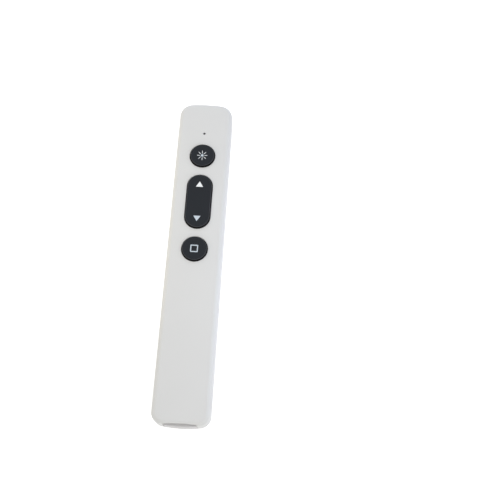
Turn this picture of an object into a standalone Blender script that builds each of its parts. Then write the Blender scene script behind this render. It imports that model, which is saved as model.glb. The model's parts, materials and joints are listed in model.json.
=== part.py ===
# A wireless presenter: a slim two-part moulded housing with three keys, a laser module in the nose,
# a rechargeable cell, and a USB receiver that is stored in the tail.
# Metres. +Y points to the nose, +Z up, and the origin is under the middle of the housing.

import math

import bmesh
import bpy
from mathutils import Matrix, Vector

# Housing
BODY_WIDTH = 0.025
BODY_LENGTH = 0.153
BODY_HEIGHT = 0.012
SPLIT_SHARE = 0.5
NOSE_CORNER_RADIUS = 0.0061
NOSE_END_RADIUS = 0.08
TAIL_CORNER_RADIUS = 0.0049
TAIL_END_RADIUS = 0.056
TOP_EDGE_RADIUS = 0.0022
BOTTOM_EDGE_RADIUS = 0.0024
WALL = 0.0015

# Lap joint between the two shells
LAP_LEG_SHARE = 0.5
LAP_HEIGHT = 0.0008
LAP_CLEARANCE = 0.00012

# Snap hooks, three on each side
HOOK_WIDTH = 0.0032
HOOK_THICKNESS = 0.0008
HOOK_REACH = 0.0024
BARB_DEPTH = 0.0005
BARB_HEIGHT = 0.0009
HOOK_CLEARANCE = 0.00015
WINDOW_CLEARANCE = 0.00025

# Keys, measured back from the nose
LASER_KEY_FROM_NOSE = 0.0283
PAGE_KEY_PITCH = 0.0233
SCREEN_KEY_PITCH = 0.0233
KEY_DIAMETER = 0.01144
PAGE_KEY_LENGTH = 0.0265
KEY_GAP = 0.00025
KEY_PROUD = 0.0010
KEY_EDGE_RADIUS = 0.0005
KEY_DISH = 0.0002
KEY_SKIN = 0.0012
KEY_FLANGE = 0.0007
KEY_FLANGE_THICKNESS = 0.0006
KEY_FLANGE_GAP = 0.0003
KEY_STEM_RADIUS = 0.0014
KEY_STEM_GAP = 0.0001
PAGE_STEM_SPACING = 0.0170
FULCRUM_WIDTH = 0.0060
FULCRUM_THICKNESS = 0.0012
FULCRUM_RISE = 0.0006
PAGE_TAB_LENGTH = 0.0040

# Silicone key mat
MAT_THICKNESS = 0.0005
MAT_SIDE_MARGIN = 0.0009
MAT_END_MARGIN = 0.0016
MAT_CORNER_RADIUS = 0.0015
DOME_HEIGHT = 0.0010
DOME_BASE_RADIUS = 0.0034
DOME_TOP_RADIUS = 0.0019
DOME_SKIN = 0.0004
PILL_THICKNESS = 0.0007
DOME_LIFT = 0.0001

# Main board
BOARD_TO_ROOF = 0.0027
BOARD_THICKNESS = 0.0010
BOARD_SIDE_GAP = 0.0012
BOARD_REAR_MARGIN = 0.0153
BOARD_CORNER_RADIUS = 0.0012
SCREW_EDGE_MARGIN = 0.0026
SCREW_END_MARGIN = 0.0029
SCREW_RADIUS = 0.00075
SCREW_HEAD_RADIUS = 0.0014
SCREW_HEAD_HEIGHT = 0.0009
SCREW_TIP_MARGIN = 0.0018
SCREW_TIP_SHARE = 0.7
SCREW_CROWN_SHARE = 0.7
SCREW_SLOT_WIDTH = 0.0004
SCREW_SLOT_DEPTH = 0.0004
SCREW_CLEARANCE = 0.00012
BOSS_RADIUS = 0.0018
POST_RADIUS = 0.0010
POST_PLACE_SHARES = (0.30, 0.62)
HOLD_DOWN_GAP = 0.0001

# Status light
LED_FROM_NOSE = 0.0164
LED_SIZE = (0.0016, 0.0008, 0.0006)
PINHOLE_RADIUS = 0.00050
PIPE_CLEARANCE = 0.00008
PIPE_RECESS = 0.0003
PIPE_FLANGE_RADIUS = 0.0012
PIPE_FLANGE_THICKNESS = 0.0006
PIPE_FOOT_RADIUS = 0.00084
PIPE_GAP = 0.0002
PIPE_COLLAR_WALL = 0.0008

# Laser module
WINDOW_RADIUS = 0.0021
WINDOW_FLANGE_RADIUS = 0.0029
WINDOW_FLANGE_THICKNESS = 0.0007
WINDOW_RECESS = 0.0002
WINDOW_GAP = 0.00015
BARREL_RADIUS = 0.0030
BARREL_LENGTH = 0.0110
BARREL_GAP = 0.0002
BARREL_BORE_RADIUS = 0.0017
LENS_RADIUS = 0.0022
LENS_THICKNESS = 0.0016
LENS_BULGE = 0.0004
LENS_SEAT_DEPTH = 0.0030
LENS_GAP = 0.0001
DIODE_FLANGE_RADIUS = 0.0024
DIODE_FLANGE_THICKNESS = 0.0010
DIODE_CAN_RADIUS = 0.0015
DIODE_CAN_LENGTH = 0.0020
DRIVER_THICKNESS = 0.0008
LASER_LEAD_SPACE = 0.0013
LASER_LEAD_RADIUS = 0.00025
LASER_LEAD_RISE = 0.00075
LASER_LEAD_SPACING = 0.0036
LEAD_GAP = 0.00008
SADDLE_THICKNESS = 0.0014
SADDLE_PLACE_SHARES = (0.22, 0.76)
SADDLE_HALF_WIDTH = 0.0042
SADDLE_CLEARANCE = 0.0001

# USB receiver and its pocket
RECEIVER_DROP = 0.00025
RECEIVER_CAP_WIDTH = 0.0142
RECEIVER_CAP_HEIGHT = 0.0073
RECEIVER_CAP_LENGTH = 0.0055
RECEIVER_CAP_CORNER = 0.0011
RECEIVER_CAP_EDGE = 0.0003
RECEIVER_CLEARANCE = 0.0002
NOTCH_RADIUS = 0.0110
NOTCH_DEPTH = 0.0010
NOTCH_DROP = 0.0010
PLUG_WIDTH = 0.0120
PLUG_HEIGHT = 0.0045
PLUG_LENGTH = 0.0120
PLUG_SKIN = 0.0003
PLUG_CORNER = 0.0005
PLUG_SEAT_DEPTH = 0.0012
PLUG_SEAT_CLEARANCE = 0.0001
PLUG_WINDOW = 0.0022
PLUG_WINDOW_SPACING = 0.0052
PLUG_WINDOW_FROM_MOUTH = 0.0052
TONGUE_HEIGHT = 0.0019
TONGUE_RECESS = 0.0006
TONGUE_CLEARANCE = 0.0001
CONTACT_WIDTH = 0.0011
CONTACT_LENGTH = 0.0078
CONTACT_THICKNESS = 0.00015
CONTACT_PITCHES = (-0.0035, -0.0010, 0.0010, 0.0035)
CONTACT_RECESS = 0.0004
POCKET_WALL = 0.0012
POCKET_CLEARANCE = 0.0003
POCKET_START = 0.0004
RAIL_WIDTH = 0.0010
RAIL_SPACING = 0.0070

# Cell
CELL_WIDTH = 0.0160
CELL_HEIGHT = 0.0052
CELL_EDGE_RADIUS = 0.0012
CELL_END_GAP = 0.0004
CELL_LEAD_SPACE = 0.0048
CELL_BOARD_THICKNESS = 0.0008
CELL_BOARD_HEIGHT = 0.0036
CELL_BOARD_MARGIN = 0.0020
PAD_THICKNESS = 0.0005
PAD_MARGIN = 0.0012
CRADLE_WALL = 0.0010
CRADLE_END_SHARE = 0.17
CRADLE_STOP_SHARE = 0.5
CRADLE_HEIGHT = 0.0030
CRADLE_CLEARANCE = 0.0003
CELL_LEAD_RADIUS = 0.00042
CELL_LEAD_SPACING = 0.0013
HEADER_SIZE = (0.0044, 0.0038, 0.0017)
HEADER_WALL = 0.0004
HEADER_MARGIN = 0.0004
HEADER_CLEARANCE = 0.0001
HEADER_PLUG_PROUD = 0.0005

# Micro-USB charging port, in the left side
PORT_BEHIND_SCREEN_KEY = 0.0048
PORT_WIDTH = 0.0075
PORT_HEIGHT = 0.0025
PORT_DEPTH = 0.0056
PORT_SKIN = 0.0003
PORT_CHAMFER = 0.0007
PORT_RECESS = 0.0004
PORT_CLEARANCE = 0.00025
PORT_HOLE_CORNER = 0.0004
PORT_TONGUE_WIDTH = 0.0036
PORT_TONGUE_THICKNESS = 0.0006
PORT_TONGUE_RECESS = 0.0012

# Slide switch, in the left side
SWITCH_AHEAD_SCREEN_KEY = 0.0177
SWITCH_TRAVEL = 0.0020
SWITCH_CASE_SIZE = (0.0027, 0.0067, 0.0014)
SWITCH_CASE_SLOT_HEIGHT = 0.0008
SWITCH_CASE_SLOT_DEPTH = 0.0016
LEVER_WIDTH = 0.0013
LEVER_THICKNESS = 0.0006
KNOB_LENGTH = 0.0058
KNOB_HEIGHT = 0.0030
KNOB_CORNER = 0.0006
KNOB_THICKNESS = 0.00055
KNOB_RECESS_DEPTH = 0.00080
KNOB_CLEARANCE = 0.00012
KNOB_NECK_LENGTH = 0.0024
KNOB_NECK_HEIGHT = 0.0014
KNOB_PLATE_LENGTH = 0.0054
KNOB_PLATE_HEIGHT = 0.0028
KNOB_PLATE_THICKNESS = 0.0005
KNOB_RIB_COUNT = 4
KNOB_RIB_WIDTH = 0.0004
KNOB_RIB_DEPTH = 0.0002

# Small parts under the board
RADIO_CHIP_SIZE = (0.0050, 0.0050, 0.0009)
CHARGE_CHIP_SIZE = (0.0049, 0.0039, 0.0014)
CRYSTAL_SIZE = (0.0032, 0.0025, 0.0007)
RADIO_CHIP_PLACE_SHARES = (0.12, 0.66)
CHARGE_CHIP_PLACE_SHARES = (0.10, 0.16)
CRYSTAL_PLACE_SHARES = (0.12, 0.80)

# Cuts run past the faces that they open by this much
OVERRUN = 0.0005

# Facets
CORNER_STEPS = 8
END_STEPS = 6
EDGE_STEPS = 4
DISH_STEPS = 3
ROUND_STEPS = 24
SMALL_ROUND_STEPS = 12
STADIUM_STEPS = 12
SMOOTH_ANGLE = math.radians(35)
SQUARE_ANGLE = math.radians(90)
MERGE_DISTANCE = 0.000001

# Places that the sizes above settle
NOSE = BODY_LENGTH / 2
TAIL = -BODY_LENGTH / 2
SIDE = BODY_WIDTH / 2
INNER_SIDE = SIDE - WALL
FLOOR = WALL
ROOF = BODY_HEIGHT - WALL
IN_FLOOR = WALL / 2
IN_ROOF = BODY_HEIGHT - WALL / 2
SPLIT_HEIGHT = BODY_HEIGHT * SPLIT_SHARE
RECEIVER_HEIGHT = SPLIT_HEIGHT - RECEIVER_DROP
LASER_KEY_Y = NOSE - LASER_KEY_FROM_NOSE
PAGE_KEY_Y = LASER_KEY_Y - PAGE_KEY_PITCH
SCREEN_KEY_Y = PAGE_KEY_Y - SCREEN_KEY_PITCH
KEY_RADIUS = KEY_DIAMETER / 2
KEY_TOP = BODY_HEIGHT + KEY_PROUD
FLANGE_TOP = ROOF - KEY_FLANGE_GAP
FLANGE_BOTTOM = FLANGE_TOP - KEY_FLANGE_THICKNESS
BOARD_TOP = ROOF - BOARD_TO_ROOF
BOARD_BOTTOM = BOARD_TOP - BOARD_THICKNESS
MAT_TOP = BOARD_TOP + MAT_THICKNESS
DOME_TOP = MAT_TOP + DOME_HEIGHT
STEM_BOTTOM = DOME_TOP + KEY_STEM_GAP
FULCRUM_TOP = MAT_TOP + FULCRUM_RISE
FULCRUM_HEIGHT = FULCRUM_TOP + KEY_STEM_GAP
BOARD_HALF_WIDTH = INNER_SIDE - BOARD_SIDE_GAP
SCREW_LENGTH = BOARD_TOP - FLOOR - SCREW_TIP_MARGIN
NOSE_WALL_FACE = NOSE - WALL
WINDOW_BACK = NOSE_WALL_FACE - WINDOW_GAP - WINDOW_FLANGE_THICKNESS
BARREL_FRONT = WINDOW_BACK - BARREL_GAP
BARREL_REAR = BARREL_FRONT - BARREL_LENGTH
DRIVER_FRONT = BARREL_REAR - BARREL_GAP
DRIVER_REAR = DRIVER_FRONT - DRIVER_THICKNESS
BOARD_FRONT = DRIVER_REAR - LASER_LEAD_SPACE
BOARD_REAR = SCREEN_KEY_Y - BOARD_REAR_MARGIN
BOARD_LENGTH = BOARD_FRONT - BOARD_REAR
LED_Y = NOSE - LED_FROM_NOSE
CAP_BACK = TAIL + RECEIVER_CAP_LENGTH
PLUG_START = CAP_BACK - PLUG_SEAT_DEPTH
PLUG_MOUTH = CAP_BACK + PLUG_LENGTH
POCKET_BACK = PLUG_MOUTH + POCKET_CLEARANCE
POCKET_END = POCKET_BACK + POCKET_WALL
CELL_REAR = POCKET_END + CRADLE_CLEARANCE
CELL_BOARD_FRONT = BOARD_REAR - CELL_LEAD_SPACE
CELL_BOARD_REAR = CELL_BOARD_FRONT - CELL_BOARD_THICKNESS
CELL_FRONT = CELL_BOARD_REAR - CELL_END_GAP
CELL_BOTTOM = FLOOR + PAD_THICKNESS
CELL_MIDDLE_HEIGHT = CELL_BOTTOM + CELL_HEIGHT / 2
PORT_Y = SCREEN_KEY_Y - PORT_BEHIND_SCREEN_KEY
PORT_MIDDLE_HEIGHT = BOARD_BOTTOM - PORT_HEIGHT / 2
SWITCH_Y = SCREEN_KEY_Y + SWITCH_AHEAD_SCREEN_KEY
SWITCH_HEIGHT = BOARD_BOTTOM - SWITCH_CASE_SIZE[2] / 2
KNOB_Y = SWITCH_Y - SWITCH_TRAVEL / 2
SWITCH_CASE_FACE = -BOARD_HALF_WIDTH
HEADER_REAR = BOARD_REAR + HEADER_MARGIN

# Turns that lay a shape made along Z on another axis
UPRIGHT = (0, 0, 0)
TO_NOSE = (-SQUARE_ANGLE, 0, 0)
TO_RIGHT = (SQUARE_ANGLE, 0, SQUARE_ANGLE)


def clear_scene():
    for obj in list(bpy.data.objects):
        bpy.data.objects.remove(obj, do_unlink=True)


def new_collection(name):
    collection = bpy.data.collections.new(name)
    bpy.context.scene.collection.children.link(collection)
    return collection


clear_scene()
PARTS = new_collection("wireless_presenter")
CUTTERS = new_collection("cutters")


def make_material(name, colour, roughness, metallic=0.0, alpha=1.0):
    material = bpy.data.materials.new(name)
    material.use_nodes = True
    shader = material.node_tree.nodes["Principled BSDF"]
    shader.inputs["Base Color"].default_value = (*colour, 1.0)
    shader.inputs["Roughness"].default_value = roughness
    shader.inputs["Metallic"].default_value = metallic
    shader.inputs["Alpha"].default_value = alpha
    material.diffuse_color = (*colour, alpha)
    return material


# Object helpers

def place(mesh, name, location, rotation, material):
    """Puts a mesh in the scene: a part when it has a material, else a cutter or an addition."""
    obj = bpy.data.objects.new(name, mesh)
    obj.location = location
    obj.rotation_euler = rotation
    if material is None:
        CUTTERS.objects.link(obj)
        obj.hide_render = True
        obj.display_type = "WIRE"
    else:
        PARTS.objects.link(obj)
        obj.data.materials.append(material)
    return obj


def box_mesh(name, spans):
    """A mesh of separate boxes, each given by its low and its high corner."""
    bm = bmesh.new()
    for low, high in spans:
        size = Vector(high) - Vector(low)
        middle = (Vector(high) + Vector(low)) / 2
        matrix = Matrix.Translation(middle) @ Matrix.Diagonal((*size, 1))
        bmesh.ops.create_cube(bm, size=1, matrix=matrix)
    mesh = bpy.data.meshes.new(name)
    bm.to_mesh(mesh)
    bm.free()
    return mesh


def boxes(name, spans, material=None, location=UPRIGHT):
    return place(box_mesh(name, spans), name, location, UPRIGHT, material)


def cones(name, middles, radius_low, radius_high, height, material=None, rotation=UPRIGHT, steps=ROUND_STEPS):
    """Separate cylinders or cones of one size, centred on the given points."""
    bm = bmesh.new()
    for middle in middles:
        bmesh.ops.create_cone(
            bm,
            cap_ends=True,
            segments=steps,
            radius1=radius_low,
            radius2=radius_high,
            depth=height,
            matrix=Matrix.Translation(middle),
        )
    mesh = bpy.data.meshes.new(name)
    bm.to_mesh(mesh)
    bm.free()
    obj = place(mesh, name, UPRIGHT, rotation, material)
    smooth(obj)
    return obj


def pillars(name, places, radius, bottom, top, material=None, steps=ROUND_STEPS):
    """Upright cylinders of one radius between two heights."""
    middle = (bottom + top) / 2
    middles = [(x, y, middle) for x, y in places]
    return cones(name, middles, radius, radius, top - bottom, material, steps=steps)


def smooth(obj):
    obj.data.shade_smooth()
    obj.data.set_sharp_from_angle(angle=SMOOTH_ANGLE)


def arc(centre, radius, start, end, steps):
    """Points on an arc, both ends included. Angles are in radians."""
    angles = [start + (end - start) * step / steps for step in range(steps + 1)]
    return [(centre[0] + radius * math.cos(a), centre[1] + radius * math.sin(a)) for a in angles]


def rounded_rectangle(width, height, radius, steps=SMALL_ROUND_STEPS // 4):
    """A rectangle with round corners about the origin, counterclockwise."""
    across = width / 2 - radius
    up = height / 2 - radius
    corners = ((across, up), (-across, up), (-across, -up), (across, -up))
    points = []
    for turn, corner in enumerate(corners):
        points += arc(corner, radius, turn * SQUARE_ANGLE, (turn + 1) * SQUARE_ANGLE, steps)
    return distinct(points)


def stadium(width, length):
    """Two half circles joined by straight sides along Y, about the origin."""
    radius = width / 2
    ahead = (length - width) / 2
    front = arc((0, ahead), radius, 0, 2 * SQUARE_ANGLE, STADIUM_STEPS)
    back = arc((0, -ahead), radius, 2 * SQUARE_ANGLE, 4 * SQUARE_ANGLE, STADIUM_STEPS)
    return distinct(front + back)


def distinct(points):
    """The loop without points that repeat the one before them."""
    kept = []
    for point in points:
        if not kept or math.dist(point, kept[-1]) > MERGE_DISTANCE:
            kept.append(point)
    if math.dist(kept[0], kept[-1]) < MERGE_DISTANCE:
        kept.pop()
    return kept


def end_outline(corner_radius, end_radius, inset):
    """One end of the housing's outline, from side to side.

    The end is slightly bowed, and a corner arc is tangent to the bow and to the straight side.
    """
    corner_x = SIDE - corner_radius
    end_centre = NOSE - end_radius
    reach = end_radius - corner_radius
    corner_y = end_centre + math.sqrt(reach * reach - corner_x * corner_x)
    meet = math.atan2(corner_y - end_centre, corner_x)
    half = arc((corner_x, corner_y), corner_radius - inset, 0, meet, CORNER_STEPS)
    half += arc((0, end_centre), end_radius - inset, meet, SQUARE_ANGLE, END_STEPS // 2)
    return half + [(-x, y) for x, y in reversed(half)]


def body_outline(inset):
    """The housing's outline seen from above, moved in by a distance; the tail's corners are tighter."""
    nose = end_outline(NOSE_CORNER_RADIUS, NOSE_END_RADIUS, inset)
    tail = end_outline(TAIL_CORNER_RADIUS, TAIL_END_RADIUS, inset)
    return distinct(nose + [(-x, -y) for x, y in tail])


def plate(name, loops, bottom, top, material=None, location=UPRIGHT, rotation=UPRIGHT):
    """A flat outline, with holes where it has more loops, between two heights along its own Z."""
    curve = bpy.data.curves.new(name, "CURVE")
    curve.dimensions = "2D"
    curve.fill_mode = "BOTH"
    curve.extrude = (top - bottom) / 2
    for loop in loops:
        spline = curve.splines.new("POLY")
        spline.points.add(len(loop) - 1)
        for point, (x, y) in zip(spline.points, loop):
            point.co = (x, y, 0, 1)
        spline.use_cyclic_u = True
    obj = bpy.data.objects.new(name, curve)
    obj.location = (0, 0, (bottom + top) / 2)
    return meshed(obj, name, location, rotation, material, len(loops) == 1)


def meshed(curve_object, name, location, rotation, material, merge_caps):
    """The curve object made a closed mesh, in the same place, and then placed and turned."""
    CUTTERS.objects.link(curve_object)
    bpy.context.view_layer.update()
    graph = bpy.context.evaluated_depsgraph_get()
    mesh = bpy.data.meshes.new_from_object(curve_object.evaluated_get(graph))
    mesh.transform(curve_object.matrix_world)
    mesh.name = name
    bm = bmesh.new()
    bm.from_mesh(mesh)
    bmesh.ops.remove_doubles(bm, verts=bm.verts, dist=MERGE_DISTANCE)
    if merge_caps:
        merge_flat_caps(bm)
    bm.normal_update()
    bm.to_mesh(mesh)
    bm.free()
    bpy.data.objects.remove(curve_object, do_unlink=True)
    obj = place(mesh, name, location, rotation, material)
    smooth(obj)
    return obj


def merge_flat_caps(bm):
    """Makes one face of the triangles that fill each end of a plate."""
    for way in (1, -1):
        cap = [face for face in bm.faces if face.normal.z * way > math.cos(SMOOTH_ANGLE)]
        bmesh.ops.dissolve_faces(bm, faces=cap)


def turned(name, profile, material=None, location=UPRIGHT, rotation=UPRIGHT, steps=ROUND_STEPS):
    """A profile of (radius, height) points, down the outer side, turned about Z."""
    mesh = bpy.data.meshes.new(name)
    points = [(radius, 0, height) for radius, height in profile]
    last = len(points) - 1
    edges = [(index, index + 1) for index in range(last)]
    if min(profile[0][0], profile[-1][0]) > 0:
        edges.append((last, 0))
    mesh.from_pydata(points, edges, [])
    obj = place(mesh, name, location, rotation, material)
    screw = obj.modifiers.new("turn", "SCREW")
    screw.steps = steps
    screw.render_steps = steps
    screw.use_merge_vertices = True
    screw.merge_threshold = MERGE_DISTANCE
    screw.use_smooth_shade = False
    return obj


def tube(name, route, radius, material):
    """A wire along a smooth route."""
    curve = bpy.data.curves.new(name, "CURVE")
    curve.dimensions = "3D"
    curve.bevel_depth = radius
    curve.bevel_resolution = 2
    curve.use_fill_caps = True
    spline = curve.splines.new("POLY")
    spline.points.add(len(route) - 1)
    for point, place_of_point in zip(spline.points, route):
        point.co = (*place_of_point, 1)
    obj = bpy.data.objects.new(name, curve)
    return meshed(obj, name, UPRIGHT, UPRIGHT, material, False)


def bend(start, start_pull, end, end_pull, steps=10):
    """Points of a cubic curve between two ends, each with a pull that says which way it leaves."""
    start, end = Vector(start), Vector(end)
    first = start + Vector(start_pull)
    second = end + Vector(end_pull)
    points = []
    for step in range(steps + 1):
        t = step / steps
        s = 1 - t
        points.append(s**3 * start + 3 * s * s * t * first + 3 * s * t * t * second + t**3 * end)
    return points


def combine(target, other, operation, solver="EXACT"):
    boolean = target.modifiers.new(operation.lower(), "BOOLEAN")
    boolean.operation = operation
    boolean.object = other
    boolean.solver = solver


def cut(target, *cutters, solver="EXACT"):
    for cutter in cutters:
        combine(target, cutter, "DIFFERENCE", solver)


def join(target, *additions):
    for addition in additions:
        combine(target, addition, "UNION")


def round_edges(obj, width, steps, angle=SMOOTH_ANGLE):
    bevel = obj.modifiers.new("edges", "BEVEL")
    bevel.width = width
    bevel.segments = steps
    bevel.limit_method = "ANGLE"
    bevel.angle_limit = angle


# Places that several parts share

def screw_places():
    across = BOARD_HALF_WIDTH - SCREW_EDGE_MARGIN
    rows = (BOARD_REAR + SCREW_END_MARGIN, BOARD_FRONT - SCREW_END_MARGIN)
    return [(side * across, row) for row in rows for side in (-1, 1)]


def post_places():
    across = BOARD_HALF_WIDTH - POST_RADIUS - HOLD_DOWN_GAP
    return [(across, BOARD_REAR + share * BOARD_LENGTH) for share in POST_PLACE_SHARES]


def hook_places():
    """Where the side wall is free: beside the cell, between port and switch, and ahead of the switch."""
    rows = ((CELL_REAR + CELL_FRONT) / 2, (PORT_Y + SWITCH_Y) / 2, (SWITCH_Y + BOARD_FRONT) / 2)
    return [(side, row) for row in rows for side in (-1, 1)]


def side_span(side, inner, outer, low_y, high_y, low_z, high_z):
    """A box on one side of the housing, between two distances from its middle plane."""
    across = sorted((side * inner, side * outer))
    return (across[0], low_y, low_z), (across[1], high_y, high_z)


def pocket_outline():
    """The receiver pocket's wall from above: wide round the cap, close round the plug, closed at the back."""
    start = TAIL + WALL + POCKET_START
    cap_side = RECEIVER_CAP_WIDTH / 2 + POCKET_CLEARANCE
    plug_side = PLUG_WIDTH / 2 + POCKET_CLEARANCE
    outer = cap_side + POCKET_WALL
    shoulder = CAP_BACK + POCKET_CLEARANCE
    right = [(outer, POCKET_END), (outer, start), (cap_side, start), (cap_side, shoulder)]
    right += [(plug_side, shoulder), (plug_side, POCKET_BACK)]
    return right + [(-x, y) for x, y in reversed(right)]


def rail_spans(bottom, top):
    """Two rails that carry the plug, above it or below it."""
    spans = []
    for side in (-1, 1):
        middle = side * RAIL_SPACING / 2
        low = (middle - RAIL_WIDTH / 2, CAP_BACK + POCKET_CLEARANCE, bottom)
        high = (middle + RAIL_WIDTH / 2, POCKET_BACK + OVERRUN, top)
        spans.append((low, high))
    return spans


def saddle_spans(bottom, top):
    spans = []
    for share in SADDLE_PLACE_SHARES:
        middle = BARREL_REAR + share * BARREL_LENGTH
        low = (-SADDLE_HALF_WIDTH, middle - SADDLE_THICKNESS / 2, bottom)
        high = (SADDLE_HALF_WIDTH, middle + SADDLE_THICKNESS / 2, top)
        spans.append((low, high))
    return spans


# Cutters that open both shells

def receiver_slot(name):
    """The opening in the tail that the receiver's cap fills."""
    width = RECEIVER_CAP_WIDTH + 2 * RECEIVER_CLEARANCE
    height = RECEIVER_CAP_HEIGHT + 2 * RECEIVER_CLEARANCE
    corner = RECEIVER_CAP_CORNER + RECEIVER_CLEARANCE
    loop = rounded_rectangle(width, height, corner)
    return plate(name, [loop], -OVERRUN, CAP_BACK - TAIL, None, (0, TAIL, RECEIVER_HEIGHT), TO_NOSE)


def laser_hole(name):
    """The round hole in the nose that the window fills."""
    hole = cones(
        name,
        [(0, 0, NOSE)],
        WINDOW_RADIUS + WINDOW_GAP,
        WINDOW_RADIUS + WINDOW_GAP,
        2 * (WALL + OVERRUN),
        None,
        TO_NOSE,
    )
    hole.location = (0, 0, SPLIT_HEIGHT)
    return hole


def port_hole(name):
    loop = rounded_rectangle(
        PORT_WIDTH + 2 * PORT_CLEARANCE, PORT_HEIGHT + 2 * PORT_CLEARANCE, PORT_HOLE_CORNER
    )
    return plate(name, [loop], -OVERRUN, WALL + OVERRUN, None, (-SIDE, PORT_Y, PORT_MIDDLE_HEIGHT), TO_RIGHT)


def knob_recess(name):
    """The recess that the sliding knob moves in, and the slot through the wall for its neck."""
    recess_length = KNOB_LENGTH + SWITCH_TRAVEL + 2 * KNOB_CLEARANCE
    recess_height = KNOB_HEIGHT + 2 * KNOB_CLEARANCE
    recess = rounded_rectangle(recess_length, recess_height, KNOB_CORNER + KNOB_CLEARANCE)
    place_of_recess = (-SIDE, SWITCH_Y, SWITCH_HEIGHT)
    outer = plate(name, [recess], -OVERRUN, KNOB_RECESS_DEPTH, None, place_of_recess, TO_RIGHT)
    slot_length = KNOB_NECK_LENGTH + SWITCH_TRAVEL + 2 * KNOB_CLEARANCE
    slot_height = KNOB_NECK_HEIGHT + 2 * KNOB_CLEARANCE
    low = (-SIDE, SWITCH_Y - slot_length / 2, SWITCH_HEIGHT - slot_height / 2)
    high = (-INNER_SIDE + OVERRUN, SWITCH_Y + slot_length / 2, SWITCH_HEIGHT + slot_height / 2)
    return outer, boxes(name + "_slot", [(low, high)])


# Housing

def open_shell(name, bottom, top, opened_at, rim_radius, material):
    """A housing half: its skin, open where the halves meet, rounded at the rim and thickened inwards."""
    shell = plate(name, [body_outline(0)], bottom, top, material)
    bm = bmesh.new()
    bm.from_mesh(shell.data)
    at_height = {vert for vert in bm.verts if abs(vert.co.z - opened_at) < MERGE_DISTANCE}
    open_faces = [face for face in bm.faces if at_height.issuperset(face.verts)]
    bmesh.ops.delete(bm, geom=open_faces, context="FACES_ONLY")
    bm.to_mesh(shell.data)
    bm.free()
    round_edges(shell, rim_radius, EDGE_STEPS)
    solidify = shell.modifiers.new("wall", "SOLIDIFY")
    solidify.thickness = WALL
    solidify.offset = -1
    solidify.use_even_offset = True
    solidify.use_quality_normals = True
    return shell


def make_upper_shell(material):
    shell = open_shell("upper_shell", SPLIT_HEIGHT, BODY_HEIGHT, SPLIT_HEIGHT, TOP_EDGE_RADIUS, material)
    leg = WALL * LAP_LEG_SHARE
    rebate = plate(
        "upper_rebate",
        [body_outline(leg), body_outline(WALL + OVERRUN)],
        SPLIT_HEIGHT - OVERRUN,
        SPLIT_HEIGHT + LAP_HEIGHT,
    )
    pocket = plate("upper_pocket", [pocket_outline()], SPLIT_HEIGHT + LAP_CLEARANCE, IN_ROOF)
    plug_top = RECEIVER_HEIGHT + PLUG_HEIGHT / 2
    rails = boxes("upper_rails", rail_spans(plug_top + POCKET_CLEARANCE, IN_ROOF))
    posts = pillars("hold_down_posts", post_places(), POST_RADIUS, BOARD_TOP + HOLD_DOWN_GAP, IN_ROOF,
                    steps=SMALL_ROUND_STEPS)
    collar = make_pipe_collar()
    join(shell, pocket, rails, posts, collar, make_clamp_ribs(), make_hooks())
    round_key_hole = KEY_RADIUS + KEY_GAP
    holes = pillars(
        "key_holes",
        [(0, LASER_KEY_Y), (0, SCREEN_KEY_Y)],
        round_key_hole,
        ROOF - OVERRUN,
        BODY_HEIGHT + OVERRUN,
        steps=2 * ROUND_STEPS,
    )
    page_loop = stadium(KEY_DIAMETER + 2 * KEY_GAP, PAGE_KEY_LENGTH + 2 * KEY_GAP)
    above = BODY_HEIGHT + OVERRUN
    page_hole = plate("page_key_hole", [page_loop], ROOF - OVERRUN, above, None, (0, PAGE_KEY_Y, 0))
    pinhole = pillars("pinhole", [(0, LED_Y)], PINHOLE_RADIUS, ROOF - OVERRUN, BODY_HEIGHT + OVERRUN,
                      steps=SMALL_ROUND_STEPS)
    openings = [rebate, holes, page_hole, pinhole, receiver_slot("upper_receiver_slot")]
    openings += [laser_hole("upper_laser_hole"), port_hole("upper_port_hole")]
    openings += knob_recess("upper_knob_recess")
    cut(shell, *openings, solver="MANIFOLD")
    return shell


def make_pipe_collar():
    """The ring under the roof that holds the light pipe's flange."""
    outer = PIPE_FLANGE_RADIUS + PIPE_GAP + PIPE_COLLAR_WALL
    collar = pillars("pipe_collar", [(0, LED_Y)], outer, ROOF - PIPE_FLANGE_THICKNESS - PIPE_GAP, IN_ROOF)
    bore = pillars("pipe_collar_bore", [(0, LED_Y)], PIPE_FLANGE_RADIUS + PIPE_GAP, FLOOR, ROOF)
    cut(collar, bore)
    return collar


def make_clamp_ribs():
    """Two ribs under the roof that come down on the laser's barrel."""
    ribs = boxes("clamp_ribs", saddle_spans(SPLIT_HEIGHT + LAP_HEIGHT + OVERRUN, IN_ROOF))
    cut(ribs, barrel_space("clamp_barrel_space"))
    return ribs


def barrel_space(name):
    """A cylinder a little wider than the laser's barrel, along it."""
    space = cones(
        name,
        [(0, 0, (BARREL_FRONT + BARREL_REAR) / 2)],
        BARREL_RADIUS + SADDLE_CLEARANCE,
        BARREL_RADIUS + SADDLE_CLEARANCE,
        BARREL_LENGTH + 2 * OVERRUN,
        None,
        TO_NOSE,
    )
    space.location = (0, 0, SPLIT_HEIGHT)
    return space


def make_hooks():
    """Snap hooks that hang from the roof beside the wall, each with a barb at its end."""
    outer = INNER_SIDE - HOOK_CLEARANCE
    inner = outer - HOOK_THICKNESS
    bottom = SPLIT_HEIGHT - HOOK_REACH
    stems = []
    barbs = []
    for side, y in hook_places():
        low_y = y - HOOK_WIDTH / 2
        high_y = y + HOOK_WIDTH / 2
        stems.append(side_span(side, inner, outer, low_y, high_y, bottom, IN_ROOF))
        barbs.append(side_span(side, (inner + outer) / 2, outer + BARB_DEPTH, low_y, high_y, bottom,
                               bottom + BARB_HEIGHT))
    hooks = boxes("hooks", stems)
    join(hooks, boxes("barbs", barbs))
    return hooks


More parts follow.
